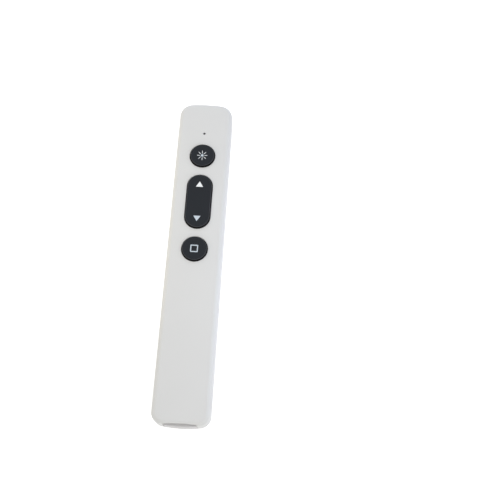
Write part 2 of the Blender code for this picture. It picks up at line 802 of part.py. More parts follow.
def make_lower_shell(material):
    lip_top = SPLIT_HEIGHT + LAP_HEIGHT - LAP_CLEARANCE
    shell = open_shell("lower_shell", 0, lip_top, lip_top, BOTTOM_EDGE_RADIUS, material)
    leg = WALL * LAP_LEG_SHARE + LAP_CLEARANCE
    rim = [body_outline(-OVERRUN), body_outline(leg)]
    rim_cut = plate("lower_rim_cut", rim, SPLIT_HEIGHT, lip_top + OVERRUN)
    pocket = plate("lower_pocket", [pocket_outline()], IN_FLOOR, SPLIT_HEIGHT - LAP_CLEARANCE)
    plug_bottom = RECEIVER_HEIGHT - PLUG_HEIGHT / 2
    rails = boxes("lower_rails", rail_spans(IN_FLOOR, plug_bottom - POCKET_CLEARANCE))
    posts = pillars("posts", post_places(), POST_RADIUS, IN_FLOOR, BOARD_BOTTOM, steps=SMALL_ROUND_STEPS)
    join(shell, pocket, rails, make_bosses(), posts, make_saddles(), make_cell_cradle())
    openings = [rim_cut, make_hook_windows(), receiver_slot("lower_receiver_slot")]
    openings += [laser_hole("lower_laser_hole"), port_hole("lower_port_hole")]
    openings += knob_recess("lower_knob_recess")
    cut(shell, *openings, solver="MANIFOLD")
    return shell


def make_bosses():
    """Pillars on the floor that the board lies on, each with a blind hole for its screw."""
    bosses = pillars("bosses", screw_places(), BOSS_RADIUS, IN_FLOOR, BOARD_BOTTOM)
    holes = pillars(
        "boss_holes",
        screw_places(),
        SCREW_RADIUS + SCREW_CLEARANCE,
        BOARD_TOP - SCREW_LENGTH - SCREW_CLEARANCE,
        BOARD_BOTTOM + OVERRUN,
        steps=SMALL_ROUND_STEPS,
    )
    cut(bosses, holes)
    return bosses


def make_saddles():
    """Two ribs on the floor that the laser's barrel lies in."""
    saddles = boxes("saddles", saddle_spans(IN_FLOOR, SPLIT_HEIGHT - OVERRUN))
    cut(saddles, barrel_space("saddle_barrel_space"))
    return saddles


def make_cell_cradle():
    """Short walls on the floor at the cell's sides and ahead of its protection board."""
    side = CELL_WIDTH / 2 + CRADLE_CLEARANCE
    end_space = (CELL_FRONT - CELL_REAR) * CRADLE_END_SHARE
    low_y = CELL_REAR + end_space
    high_y = CELL_FRONT - end_space
    front = CELL_BOARD_FRONT + CRADLE_CLEARANCE
    low_z = IN_FLOOR
    high_z = FLOOR + CRADLE_HEIGHT
    spans = []
    for way in (-1, 1):
        spans.append(side_span(way, side, side + CRADLE_WALL, low_y, high_y, low_z, high_z))
        stop = side * CRADLE_STOP_SHARE
        spans.append(side_span(way, stop, side, front, front + CRADLE_WALL, low_z, high_z))
    return boxes("cell_cradle", spans)


def make_hook_windows():
    """Recesses inside the lower wall that the barbs snap into."""
    bottom = SPLIT_HEIGHT - HOOK_REACH - WINDOW_CLEARANCE
    top = SPLIT_HEIGHT - HOOK_REACH + BARB_HEIGHT + WINDOW_CLEARANCE
    depth = BARB_DEPTH - HOOK_CLEARANCE + WINDOW_CLEARANCE
    spans = []
    for side, y in hook_places():
        half = HOOK_WIDTH / 2 + WINDOW_CLEARANCE
        inner, outer = INNER_SIDE - OVERRUN, INNER_SIDE + depth
        spans.append(side_span(side, inner, outer, y - half, y + half, bottom, top))
    return boxes("hook_windows", spans)


# Keys

def round_key_profile():
    """Half the section of a round key: a dished cap with a skirt, a flange under the roof and a stem."""
    edge = KEY_EDGE_RADIUS
    rim = arc((KEY_RADIUS - edge, KEY_TOP - edge), edge, SQUARE_ANGLE, 0, EDGE_STEPS)
    shares = [step / DISH_STEPS for step in range(DISH_STEPS)]
    dish = [((KEY_RADIUS - edge) * share, KEY_TOP - KEY_DISH * (1 - share * share)) for share in shares]
    return [
        *dish,
        *rim,
        (KEY_RADIUS, FLANGE_TOP),
        (KEY_RADIUS + KEY_FLANGE, FLANGE_TOP),
        (KEY_RADIUS + KEY_FLANGE, FLANGE_BOTTOM),
        (KEY_RADIUS - KEY_SKIN, FLANGE_BOTTOM),
        (KEY_RADIUS - KEY_SKIN, KEY_TOP - KEY_SKIN),
        (KEY_STEM_RADIUS, KEY_TOP - KEY_SKIN),
        (KEY_STEM_RADIUS, STEM_BOTTOM),
        (0, STEM_BOTTOM),
    ]


def make_round_key(name, y, material):
    return turned(name, round_key_profile(), material, (0, y, 0), steps=2 * ROUND_STEPS)


def make_page_key(material):
    """The long key: a skirted cap that rocks on a bar under its middle, with a stem at each end."""
    loop = stadium(KEY_DIAMETER, PAGE_KEY_LENGTH)
    key = plate("page_key", [loop], FLANGE_BOTTOM - FULCRUM_HEIGHT, KEY_TOP - FULCRUM_HEIGHT, material,
                (0, PAGE_KEY_Y, FULCRUM_HEIGHT))
    round_edges(key, KEY_EDGE_RADIUS, EDGE_STEPS)
    hollow_loop = stadium(KEY_DIAMETER - 2 * KEY_SKIN, PAGE_KEY_LENGTH - 2 * KEY_SKIN)
    hollow = plate("page_key_hollow", [hollow_loop], FLANGE_BOTTOM - OVERRUN, KEY_TOP - KEY_SKIN, None,
                   (0, PAGE_KEY_Y, 0))
    stems = pillars(
        "page_key_stems",
        [(0, PAGE_KEY_Y + way * PAGE_STEM_SPACING / 2) for way in (-1, 1)],
        KEY_STEM_RADIUS,
        STEM_BOTTOM,
        KEY_TOP - KEY_SKIN / 2,
    )
    bar = boxes(
        "page_key_bar",
        [
            (
                (-FULCRUM_WIDTH / 2, PAGE_KEY_Y - FULCRUM_THICKNESS / 2, FULCRUM_HEIGHT),
                (FULCRUM_WIDTH / 2, PAGE_KEY_Y + FULCRUM_THICKNESS / 2, KEY_TOP - KEY_SKIN / 2),
            )
        ],
    )
    tabs = boxes(
        "page_key_tabs",
        [
            side_span(
                side,
                KEY_RADIUS - KEY_SKIN / 2,
                KEY_RADIUS + KEY_FLANGE,
                PAGE_KEY_Y - PAGE_TAB_LENGTH / 2,
                PAGE_KEY_Y + PAGE_TAB_LENGTH / 2,
                FLANGE_BOTTOM + HOLD_DOWN_GAP,
                FLANGE_TOP,
            )
            for side in (-1, 1)
        ],
    )
    cut(key, hollow)
    join(key, stems, bar, tabs)
    return key


def dome_places():
    return [
        (0, LASER_KEY_Y),
        (0, PAGE_KEY_Y + PAGE_STEM_SPACING / 2),
        (0, PAGE_KEY_Y - PAGE_STEM_SPACING / 2),
        (0, SCREEN_KEY_Y),
    ]


def make_key_mat(material):
    """A silicone sheet on the board with a hollow dome under each key stem and a bar under the long key."""
    half_width = KEY_RADIUS + KEY_FLANGE + MAT_SIDE_MARGIN
    half_key = KEY_RADIUS + MAT_END_MARGIN
    low_y = SCREEN_KEY_Y - half_key
    high_y = LASER_KEY_Y + half_key
    loop = rounded_rectangle(2 * half_width, high_y - low_y, MAT_CORNER_RADIUS)
    mat = plate("key_mat", [loop], BOARD_TOP, MAT_TOP, material, (0, (low_y + high_y) / 2, 0))
    outer = cones(
        "domes",
        [(x, y, (BOARD_TOP + DOME_TOP) / 2) for x, y in dome_places()],
        DOME_BASE_RADIUS,
        DOME_TOP_RADIUS,
        DOME_TOP - BOARD_TOP - 2 * DOME_LIFT,
    )
    outer.location = (0, 0, DOME_LIFT)
    inner_top = DOME_TOP - PILL_THICKNESS
    inner = cones(
        "dome_hollows",
        [(x, y, (BOARD_TOP - OVERRUN + inner_top) / 2) for x, y in dome_places()],
        DOME_BASE_RADIUS - DOME_SKIN,
        DOME_TOP_RADIUS - DOME_SKIN,
        inner_top - BOARD_TOP + OVERRUN,
    )
    bar = boxes(
        "fulcrum_bar",
        [
            (
                (-FULCRUM_WIDTH / 2, PAGE_KEY_Y - FULCRUM_THICKNESS / 2, BOARD_TOP + DOME_LIFT),
                (FULCRUM_WIDTH / 2, PAGE_KEY_Y + FULCRUM_THICKNESS / 2, FULCRUM_TOP),
            )
        ],
    )
    join(mat, outer, bar)
    cut(mat, inner)
    return mat


# Board and what it carries

def make_main_board(material):
    loop = rounded_rectangle(2 * BOARD_HALF_WIDTH, BOARD_LENGTH, BOARD_CORNER_RADIUS)
    middle = (BOARD_FRONT + BOARD_REAR) / 2
    board = plate("main_board", [loop], BOARD_BOTTOM, BOARD_TOP, material, (0, middle, 0))
    holes = pillars(
        "board_holes",
        screw_places(),
        SCREW_RADIUS + SCREW_CLEARANCE,
        BOARD_BOTTOM - OVERRUN,
        BOARD_TOP + OVERRUN,
        steps=SMALL_ROUND_STEPS,
    )
    cut(board, holes)
    return board


def make_board_screw(index, spot, material):
    """A pan-head screw through the board into a boss."""
    head_top = SCREW_HEAD_HEIGHT
    tip = SCREW_RADIUS * SCREW_TIP_SHARE
    profile = [
        (0, head_top),
        (SCREW_HEAD_RADIUS * SCREW_CROWN_SHARE, head_top),
        (SCREW_HEAD_RADIUS, head_top / 2),
        (SCREW_HEAD_RADIUS, 0),
        (SCREW_RADIUS, 0),
        (SCREW_RADIUS, tip - SCREW_LENGTH),
        (0, -SCREW_LENGTH),
    ]
    name = "board_screw_" + str(index)
    screw = turned(name, profile, material, (*spot, BOARD_TOP), steps=SMALL_ROUND_STEPS)
    half = SCREW_SLOT_WIDTH / 2
    reach = SCREW_HEAD_RADIUS / 2
    low_z = BOARD_TOP + head_top - SCREW_SLOT_DEPTH
    high_z = BOARD_TOP + head_top + OVERRUN
    x, y = spot
    across_span = ((x - reach, y - half, low_z), (x + reach, y + half, high_z))
    along_span = ((x - half, y - reach, low_z), (x + half, y + reach, high_z))
    across = boxes(name + "_slot_across", [across_span])
    along = boxes(name + "_slot_along", [along_span])
    cut(screw, across, along)
    return screw


def chip(name, size, place_shares, material):
    """A chip under the board, with its place in shares of the board's half width and its length."""
    across, along = place_shares
    x = across * BOARD_HALF_WIDTH
    y = BOARD_REAR + along * BOARD_LENGTH
    low = (x - size[0] / 2, y - size[1] / 2, BOARD_BOTTOM - size[2])
    high = (x + size[0] / 2, y + size[1] / 2, BOARD_BOTTOM)
    return boxes(name, [(low, high)], material)


def make_status_led(material):
    width, depth, height = LED_SIZE
    low = (-width / 2, LED_Y - depth / 2, BOARD_TOP)
    high = (width / 2, LED_Y + depth / 2, BOARD_TOP + height)
    return boxes("status_led", [(low, high)], material)


def make_light_pipe(material):
    """A stepped pin: its flange sits in the collar and its tip stands in the pinhole."""
    tip = PINHOLE_RADIUS - PIPE_CLEARANCE
    flange_top = ROOF - PIPE_GAP
    flange_bottom = flange_top - PIPE_FLANGE_THICKNESS
    foot = BOARD_TOP + LED_SIZE[2] + PIPE_GAP
    profile = [
        (0, BODY_HEIGHT - PIPE_RECESS),
        (tip, BODY_HEIGHT - PIPE_RECESS),
        (tip, flange_top),
        (PIPE_FLANGE_RADIUS, flange_top),
        (PIPE_FLANGE_RADIUS, flange_bottom),
        (PIPE_FOOT_RADIUS, flange_bottom),
        (PIPE_FOOT_RADIUS, foot),
        (0, foot),
    ]
    return turned("light_pipe", profile, material, (0, LED_Y, 0), steps=SMALL_ROUND_STEPS)


# Laser module

def make_laser_window(material):
    front = NOSE - WINDOW_RECESS
    flange_front = NOSE_WALL_FACE - WINDOW_GAP
    profile = [
        (0, front - WINDOW_BACK),
        (WINDOW_RADIUS, front - WINDOW_BACK),
        (WINDOW_RADIUS, flange_front - WINDOW_BACK),
        (WINDOW_FLANGE_RADIUS, flange_front - WINDOW_BACK),
        (WINDOW_FLANGE_RADIUS, 0),
        (0, 0),
    ]
    return turned("laser_window", profile, material, (0, WINDOW_BACK, SPLIT_HEIGHT), TO_NOSE)


def make_laser_housing(material):
    """The barrel: a seat for the lens in front, a narrow bore, and a seat for the diode at the back."""
    diode_seat = DIODE_FLANGE_THICKNESS + LENS_GAP
    profile = [
        (BARREL_RADIUS, BARREL_LENGTH),
        (BARREL_RADIUS, 0),
        (DIODE_FLANGE_RADIUS + LENS_GAP, 0),
        (DIODE_FLANGE_RADIUS + LENS_GAP, diode_seat),
        (BARREL_BORE_RADIUS, diode_seat),
        (BARREL_BORE_RADIUS, BARREL_LENGTH - LENS_SEAT_DEPTH),
        (LENS_RADIUS + LENS_GAP, BARREL_LENGTH - LENS_SEAT_DEPTH),
        (LENS_RADIUS + LENS_GAP, BARREL_LENGTH),
    ]
    return turned("laser_housing", profile, material, (0, BARREL_REAR, SPLIT_HEIGHT), TO_NOSE)


def make_laser_lens(material):
    """A lens with a bulging front and a flat back, on the step in the barrel."""
    back = BARREL_FRONT - LENS_SEAT_DEPTH + LENS_GAP
    edge = LENS_THICKNESS - LENS_BULGE
    front = [
        (LENS_RADIUS * step / EDGE_STEPS, edge + LENS_BULGE * (1 - (step / EDGE_STEPS) ** 2))
        for step in range(EDGE_STEPS + 1)
    ]
    profile = [*front, (LENS_RADIUS, 0), (0, 0)]
    return turned("laser_lens", profile, material, (0, back, SPLIT_HEIGHT), TO_NOSE)


def make_laser_diode(material):
    profile = [
        (0, DIODE_FLANGE_THICKNESS + DIODE_CAN_LENGTH),
        (DIODE_CAN_RADIUS, DIODE_FLANGE_THICKNESS + DIODE_CAN_LENGTH),
        (DIODE_CAN_RADIUS, DIODE_FLANGE_THICKNESS),
        (DIODE_FLANGE_RADIUS, DIODE_FLANGE_THICKNESS),
        (DIODE_FLANGE_RADIUS, 0),
        (0, 0),
    ]
    return turned("laser_diode", profile, material, (0, BARREL_REAR, SPLIT_HEIGHT), TO_NOSE)


def make_laser_board(material):
    profile = [(0, DRIVER_THICKNESS), (BARREL_RADIUS, DRIVER_THICKNESS), (BARREL_RADIUS, 0), (0, 0)]
    return turned("laser_board", profile, material, (0, DRIVER_REAR, SPLIT_HEIGHT), TO_NOSE)


def make_laser_lead(name, side, material):
    """A lead from the back of the driver board, up and over the edge of the main board."""
    x = side * LASER_LEAD_SPACING / 2
    lift = LASER_LEAD_RADIUS + LEAD_GAP
    space = DRIVER_REAR - BOARD_FRONT
    start = (x, DRIVER_REAR - LEAD_GAP, SPLIT_HEIGHT + LASER_LEAD_RISE)
    over = (x, BOARD_FRONT + space / 2, BOARD_TOP)
    end = (x, BOARD_FRONT - space / 2, BOARD_TOP + lift)
    first = bend(start, (0, -space / 2, 0), over, (0, 0, -LASER_LEAD_RISE), 6)
    second = bend(over, (0, 0, lift + lift), end, (0, space / 4, 0), 6)
    return tube(name, first + second[1:], LASER_LEAD_RADIUS, material)


# Cell

def make_battery_cell(material):
    low = (-CELL_WIDTH / 2, CELL_REAR, CELL_BOTTOM)
    high = (CELL_WIDTH / 2, CELL_FRONT, CELL_BOTTOM + CELL_HEIGHT)
    cell = boxes("battery_cell", [(low, high)], material)
    round_edges(cell, CELL_EDGE_RADIUS, 3)
    smooth(cell)
    return cell


def make_battery_pad(material):
    half = CELL_WIDTH / 2 - PAD_MARGIN
    low = (-half, CELL_REAR + PAD_MARGIN, FLOOR)
    high = (half, CELL_FRONT - PAD_MARGIN, CELL_BOTTOM)
    return boxes("battery_pad", [(low, high)], material)


def make_battery_board(material):
    half = CELL_WIDTH / 2 - CELL_BOARD_MARGIN
    low = (-half, CELL_BOARD_REAR, CELL_MIDDLE_HEIGHT - CELL_BOARD_HEIGHT / 2)
    high = (half, CELL_BOARD_FRONT, CELL_MIDDLE_HEIGHT + CELL_BOARD_HEIGHT / 2)
    return boxes("battery_board", [(low, high)], material)


def header_middle():
    return BOARD_TOP + HEADER_SIZE[2] / 2


def plug_spans():
    """The connector's plug: its body, which fills the header's cavity and stands a little out of it."""
    width, depth, height = HEADER_SIZE
    inset = HEADER_WALL + HEADER_CLEARANCE
    low = (inset - width / 2, HEADER_REAR - HEADER_PLUG_PROUD, BOARD_TOP + inset)
    high = (width / 2 - inset, HEADER_REAR + depth - inset, BOARD_TOP + height - inset)
    return low, high


def make_battery_header(material):
    width, depth, height = HEADER_SIZE
    header = boxes(
        "battery_header",
        [((-width / 2, HEADER_REAR, BOARD_TOP), (width / 2, HEADER_REAR + depth, BOARD_TOP + height))],
        material,
    )
    cavity = boxes(
        "header_cavity",
        [
            (
                (HEADER_WALL - width / 2, HEADER_REAR - OVERRUN, BOARD_TOP + HEADER_WALL),
                (
                    width / 2 - HEADER_WALL,
                    HEADER_REAR + depth - HEADER_WALL,
                    BOARD_TOP + height - HEADER_WALL,
                ),
            )
        ],
    )
    cut(header, cavity)
    return header


def make_battery_plug(material):
    return boxes("battery_plug", [plug_spans()], material)


def make_battery_lead(name, side, material):
    """A lead from the protection board's face up to the plug."""
    x = side * CELL_LEAD_SPACING / 2
    plug_rear = plug_spans()[0][1]
    start = (x, plug_rear - LEAD_GAP, header_middle())
    end = (x, CELL_BOARD_FRONT + LEAD_GAP, CELL_MIDDLE_HEIGHT)
    pull = (plug_rear - CELL_BOARD_FRONT) / 2
    return tube(name, bend(start, (0, -pull, 0), end, (0, pull, 0)), CELL_LEAD_RADIUS, material)


# Micro-USB port

def port_outline(inset):
    """The port's mouth: a rectangle with its two lower corners cut off."""
    across = PORT_WIDTH / 2 - inset
    up = PORT_HEIGHT / 2 - inset
    corner = PORT_CHAMFER
    right = [(across - corner, -up), (across, corner - up), (across, up)]
    return right + [(-x, y) for x, y in reversed(right)]


def make_charge_socket(material):
    """The port's metal shell under the board, open towards the side of the housing."""
    mouth = (-SIDE + PORT_RECESS, PORT_Y, PORT_MIDDLE_HEIGHT)
    shell = plate("charge_socket", [port_outline(0)], 0, PORT_DEPTH, material, mouth, TO_RIGHT)
    inner = [port_outline(PORT_SKIN)]
    hollow = plate("charge_socket_hollow", inner, -OVERRUN, PORT_DEPTH - PORT_SKIN, None, mouth, TO_RIGHT)
    cut(shell, hollow)
    return shell


def make_charge_socket_tongue(material):
    front = -SIDE + PORT_RECESS + PORT_TONGUE_RECESS
    back = -SIDE + PORT_RECESS + PORT_DEPTH - PORT_SKIN
    low = (front, PORT_Y - PORT_TONGUE_WIDTH / 2, PORT_MIDDLE_HEIGHT - PORT_TONGUE_THICKNESS / 2)
    high = (back, PORT_Y + PORT_TONGUE_WIDTH / 2, PORT_MIDDLE_HEIGHT + PORT_TONGUE_THICKNESS / 2)
    return boxes("charge_socket_tongue", [(low, high)], material)


# Slide switch

def make_power_switch_case(material):
    """The switch's case under the board, with a slot in its face for the lever."""
    depth, length, height = SWITCH_CASE_SIZE
    low = (SWITCH_CASE_FACE, SWITCH_Y - length / 2, BOARD_BOTTOM - height)
    high = (SWITCH_CASE_FACE + depth, SWITCH_Y + length / 2, BOARD_BOTTOM)
    case = boxes("power_switch_case", [(low, high)], material)
    half_slot = (LEVER_WIDTH + SWITCH_TRAVEL) / 2 + KNOB_CLEARANCE
    half_height = SWITCH_CASE_SLOT_HEIGHT / 2
    slot = boxes(
        "switch_case_slot",
        [
            (
                (SWITCH_CASE_FACE - OVERRUN, SWITCH_Y - half_slot, SWITCH_HEIGHT - half_height),
                (
                    SWITCH_CASE_FACE + SWITCH_CASE_SLOT_DEPTH,
                    SWITCH_Y + half_slot,
                    SWITCH_HEIGHT + half_height,
                ),
            )
        ],
    )
    cut(case, slot)
    return case


def knob_depths():
    """Where the knob's layers begin and end across the wall, from the outside in."""
    outer = -SIDE + KNOB_RECESS_DEPTH - KNOB_CLEARANCE - KNOB_THICKNESS
    outer_back = -SIDE + KNOB_RECESS_DEPTH - KNOB_CLEARANCE
    plate_face = -INNER_SIDE + KNOB_CLEARANCE
    plate_back = plate_face + KNOB_PLATE_THICKNESS
    return outer, outer_back, plate_face, plate_back


def make_power_switch_lever(material):
    """The lever that stands out of the switch's case into the back of the knob."""
    outer, outer_back, plate_face, plate_back = knob_depths()
    tip = outer_back + KNOB_CLEARANCE
    root = SWITCH_CASE_FACE + SWITCH_CASE_SLOT_DEPTH - KNOB_CLEARANCE
    half = LEVER_WIDTH / 2
    rise = LEVER_THICKNESS / 2
    return boxes("power_switch_lever", [((tip, -half, -rise), (root, half, rise))], material,
                 (0, KNOB_Y, SWITCH_HEIGHT))


def make_power_knob(material):
    """The sliding knob: a ribbed plate in the recess, a neck through the wall and a plate behind it."""
    outer, outer_back, plate_face, plate_back = knob_depths()
    at = (0, KNOB_Y, SWITCH_HEIGHT)
    loop = rounded_rectangle(KNOB_LENGTH, KNOB_HEIGHT, KNOB_CORNER)
    knob = plate("power_knob", [loop], outer, outer_back, material, at, TO_RIGHT)
    half = KNOB_NECK_LENGTH / 2
    rise = KNOB_NECK_HEIGHT / 2
    middle_of_face = outer_back - KNOB_THICKNESS / 2
    middle_of_plate = (plate_face + plate_back) / 2
    neck = boxes("knob_neck", [((middle_of_face, -half, -rise), (middle_of_plate, half, rise))], None, at)
    plate_half = KNOB_PLATE_LENGTH / 2
    plate_rise = KNOB_PLATE_HEIGHT / 2
    plate_span = ((plate_face, -plate_half, -plate_rise), (plate_back, plate_half, plate_rise))
    inner = boxes("knob_plate", [plate_span], None, at)
    socket_half = LEVER_WIDTH / 2 + KNOB_CLEARANCE
    socket_rise = LEVER_THICKNESS / 2 + KNOB_CLEARANCE
    socket = boxes(
        "knob_socket",
        [((outer_back, -socket_half, -socket_rise), (plate_back + OVERRUN, socket_half, socket_rise))],
        None,
        at,
    )
    grooves = []
    for index in range(KNOB_RIB_COUNT):
        y = (index - (KNOB_RIB_COUNT - 1) / 2) * 2 * KNOB_RIB_WIDTH
        low = (outer - OVERRUN, y - KNOB_RIB_WIDTH / 2, -rise)
        high = (outer + KNOB_RIB_DEPTH, y + KNOB_RIB_WIDTH / 2, rise)
        grooves.append((low, high))
    join(knob, neck, inner)
    cut(knob, socket, boxes("knob_grooves", grooves, None, at))
    return knob


# Receiver

def make_receiver_axis():
    """An empty on the line that the receiver slides along. The receiver's pieces hang on it."""
    empty = bpy.data.objects.new("receiver_axis", None)
    empty.location = (0, TAIL, RECEIVER_HEIGHT)
    PARTS.objects.link(empty)
    bpy.context.view_layer.update()
    return empty


def hang(obj, parent):
    """Parents an object and keeps it where it stands."""
    bpy.context.view_layer.update()
    world = obj.matrix_world.copy()
    obj.parent = parent
    obj.matrix_parent_inverse = parent.matrix_world.inverted()
    obj.matrix_world = world


def make_receiver_cap(material):
    """The cap: a rounded block trimmed to the housing's bowed end, with a nail notch on top."""
    loop = rounded_rectangle(RECEIVER_CAP_WIDTH, RECEIVER_CAP_HEIGHT, RECEIVER_CAP_CORNER)
    place = (0, TAIL, RECEIVER_HEIGHT)
    cap = plate("receiver_cap", [loop], -OVERRUN, RECEIVER_CAP_LENGTH, material, place, TO_NOSE)
    combine(cap, plate("cap_trim", [body_outline(0)], -OVERRUN, BODY_HEIGHT + OVERRUN), "INTERSECT")
    round_edges(cap, RECEIVER_CAP_EDGE, 2)
    top = RECEIVER_HEIGHT + RECEIVER_CAP_HEIGHT / 2
    notch = pillars(
        "nail_notch",
        [(0, TAIL + NOTCH_DEPTH - NOTCH_RADIUS)],
        NOTCH_RADIUS,
        top - NOTCH_DROP,
        top + OVERRUN,
        steps=4 * ROUND_STEPS,
    )
    seat_loop = rounded_rectangle(
        PLUG_WIDTH + 2 * PLUG_SEAT_CLEARANCE, PLUG_HEIGHT + 2 * PLUG_SEAT_CLEARANCE, PLUG_CORNER
    )
    seat_floor = CAP_BACK - PLUG_SEAT_DEPTH - PLUG_SEAT_CLEARANCE
    seat = plate("plug_seat", [seat_loop], 0, CAP_BACK + OVERRUN - seat_floor, None,
                 (0, seat_floor, RECEIVER_HEIGHT), TO_NOSE)
    cut(cap, notch, seat)
    return cap


def make_receiver_plug(material):
    """The plug's folded shell, with two square latch windows above and two below."""
    outer = rounded_rectangle(PLUG_WIDTH, PLUG_HEIGHT, PLUG_CORNER)
    inner_corner = PLUG_CORNER - PLUG_SKIN
    inner = rounded_rectangle(PLUG_WIDTH - 2 * PLUG_SKIN, PLUG_HEIGHT - 2 * PLUG_SKIN, inner_corner)
    shell = plate("receiver_plug", [outer, inner], 0, PLUG_MOUTH - PLUG_START, material,
                  (0, PLUG_START, RECEIVER_HEIGHT), TO_NOSE)
    middle_y = PLUG_MOUTH - PLUG_WINDOW_FROM_MOUTH
    half = PLUG_WINDOW / 2
    up = PLUG_HEIGHT / 2 + OVERRUN
    spans = []
    for side in (-1, 1):
        x = side * PLUG_WINDOW_SPACING / 2
        low = (x - half, middle_y - half, RECEIVER_HEIGHT - up)
        high = (x + half, middle_y + half, RECEIVER_HEIGHT + up)
        spans.append((low, high))
    cut(shell, boxes("plug_windows", spans))
    return shell


def tongue_top():
    return RECEIVER_HEIGHT - PLUG_HEIGHT / 2 + PLUG_SKIN + TONGUE_CLEARANCE + TONGUE_HEIGHT


def make_receiver_tongue(material):
    half = PLUG_WIDTH / 2 - PLUG_SKIN - TONGUE_CLEARANCE
    top = tongue_top()
    low = (-half, PLUG_START, top - TONGUE_HEIGHT)
    high = (half, PLUG_MOUTH - TONGUE_RECESS, top)
    return boxes("receiver_tongue", [(low, high)], material)


def make_receiver_contact(index, x, material):
    front = PLUG_MOUTH - TONGUE_RECESS - CONTACT_RECESS
    low = (x - CONTACT_WIDTH / 2, front - CONTACT_LENGTH, tongue_top())
    high = (x + CONTACT_WIDTH / 2, front, tongue_top() + CONTACT_THICKNESS)
    return boxes("receiver_contact_" + str(index), [(low, high)], material)


# Assembly

def build():
    white = make_material("white_plastic", (0.80, 0.80, 0.79), 0.45)
    grey_white = make_material("cap_plastic", (0.74, 0.73, 0.74), 0.45)
    soft_black = make_material("soft_touch_key", (0.028, 0.032, 0.036), 0.62)
    silicone = make_material("silicone", (0.55, 0.56, 0.58), 0.55)
    board_green = make_material("board_laminate", (0.02, 0.16, 0.07), 0.45)
    black = make_material("black_plastic", (0.015, 0.015, 0.016), 0.45)
    cream = make_material("connector_nylon", (0.78, 0.75, 0.66), 0.5)
    steel = make_material("plated_steel", (0.72, 0.72, 0.71), 0.28, 1.0)
    brass = make_material("brass", (0.75, 0.55, 0.24), 0.3, 1.0)
    gold = make_material("gold_plating", (0.85, 0.65, 0.30), 0.25, 1.0)
    clear = make_material("clear_plastic", (0.92, 0.94, 0.95), 0.08, 0.0, 0.35)
    smoke = make_material("light_pipe_plastic", (0.10, 0.10, 0.11), 0.2)
    pouch = make_material("pouch_foil", (0.62, 0.63, 0.64), 0.38, 0.6)
    foam = make_material("foam_tape", (0.06, 0.06, 0.06), 0.9)
    red = make_material("red_insulation", (0.55, 0.02, 0.02), 0.45)
    led = make_material("led_package", (0.85, 0.82, 0.62), 0.35)

    make_upper_shell(white)
    make_lower_shell(white)
    make_round_key("laser_button", LASER_KEY_Y, soft_black)
    make_page_key(soft_black)
    make_round_key("screen_button", SCREEN_KEY_Y, soft_black)
    make_key_mat(silicone)

    make_main_board(board_green)
    for index, spot in enumerate(screw_places(), 1):
        make_board_screw(index, spot, steel)
    chip("radio_chip", RADIO_CHIP_SIZE, RADIO_CHIP_PLACE_SHARES, black)
    chip("charge_chip", CHARGE_CHIP_SIZE, CHARGE_CHIP_PLACE_SHARES, black)
    chip("crystal", CRYSTAL_SIZE, CRYSTAL_PLACE_SHARES, steel)
    make_status_led(led)
    make_light_pipe(smoke)

    make_laser_window(clear)
    make_laser_housing(brass)
    make_laser_lens(clear)
    make_laser_diode(gold)
    make_laser_board(board_green)
    make_laser_lead("laser_lead_red", 1, red)
    make_laser_lead("laser_lead_black", -1, black)

    make_battery_cell(pouch)
    make_battery_pad(foam)
    make_battery_board(board_green)
    make_battery_header(cream)
    make_battery_plug(cream)
    make_battery_lead("battery_lead_red", 1, red)
    make_battery_lead("battery_lead_black", -1, black)

    make_charge_socket(steel)
    make_charge_socket_tongue(black)
    make_power_switch_case(steel)
    make_power_switch_lever(black)
    make_power_knob(soft_black)

    axis = make_receiver_axis()
    hang(make_receiver_cap(grey_white), axis)
    hang(make_receiver_plug(steel), axis)
    hang(make_receiver_tongue(black), axis)
    for index, x in enumerate(CONTACT_PITCHES, 1):
        hang(make_receiver_contact(index, x, gold), axis)


build()
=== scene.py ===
# The looks of a wireless presenter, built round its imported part.
# Metres, in the part's own frame: +Y to the nose, +Z up, and the underside on z = 0.

import json
import math

import bpy
import numpy as np
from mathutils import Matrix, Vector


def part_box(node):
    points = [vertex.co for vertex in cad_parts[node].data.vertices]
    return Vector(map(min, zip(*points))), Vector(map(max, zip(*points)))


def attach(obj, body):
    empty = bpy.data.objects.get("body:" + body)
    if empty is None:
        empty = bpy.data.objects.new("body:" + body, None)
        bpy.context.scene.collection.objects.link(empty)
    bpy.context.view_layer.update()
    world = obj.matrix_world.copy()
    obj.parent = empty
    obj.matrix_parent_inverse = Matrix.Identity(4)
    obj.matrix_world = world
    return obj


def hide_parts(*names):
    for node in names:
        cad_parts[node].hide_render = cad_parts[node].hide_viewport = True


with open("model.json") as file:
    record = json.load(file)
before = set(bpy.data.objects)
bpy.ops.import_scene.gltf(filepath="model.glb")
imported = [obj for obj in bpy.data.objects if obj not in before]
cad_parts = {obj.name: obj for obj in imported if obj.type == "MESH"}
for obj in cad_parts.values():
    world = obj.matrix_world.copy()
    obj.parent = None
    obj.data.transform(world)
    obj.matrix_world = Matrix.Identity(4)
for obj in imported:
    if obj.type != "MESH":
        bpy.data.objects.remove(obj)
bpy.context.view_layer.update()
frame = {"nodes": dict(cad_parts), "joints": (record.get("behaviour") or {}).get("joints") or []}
print("frame loaded:", len(frame["nodes"]), "nodes")

mm = 0.001
crisp = 0.01 * mm    # the edge of a cutter or block that leaves no rounding of its own
quarter = math.pi / 2


def inMm(**lengths):
    # Lengths and places in millimetres, as a dictionary in metres
    return {name: np.multiply(value, mm) for name, value in lengths.items()}


# Colours and nodes

def linear(hexColour):
    # Each sRGB channel c turns linear: c / 12.92 where it is dark, else ((c + 0.055) / 1.055) to the 2.4
    channels = np.array([int(hexColour[i:i + 2], 16) for i in (1, 3, 5)]) / 255
    flat = np.where(channels <= 0.04045, channels / 12.92, ((channels + 0.055) / 1.055) ** 2.4)
    return (*flat.tolist(), 1.0)


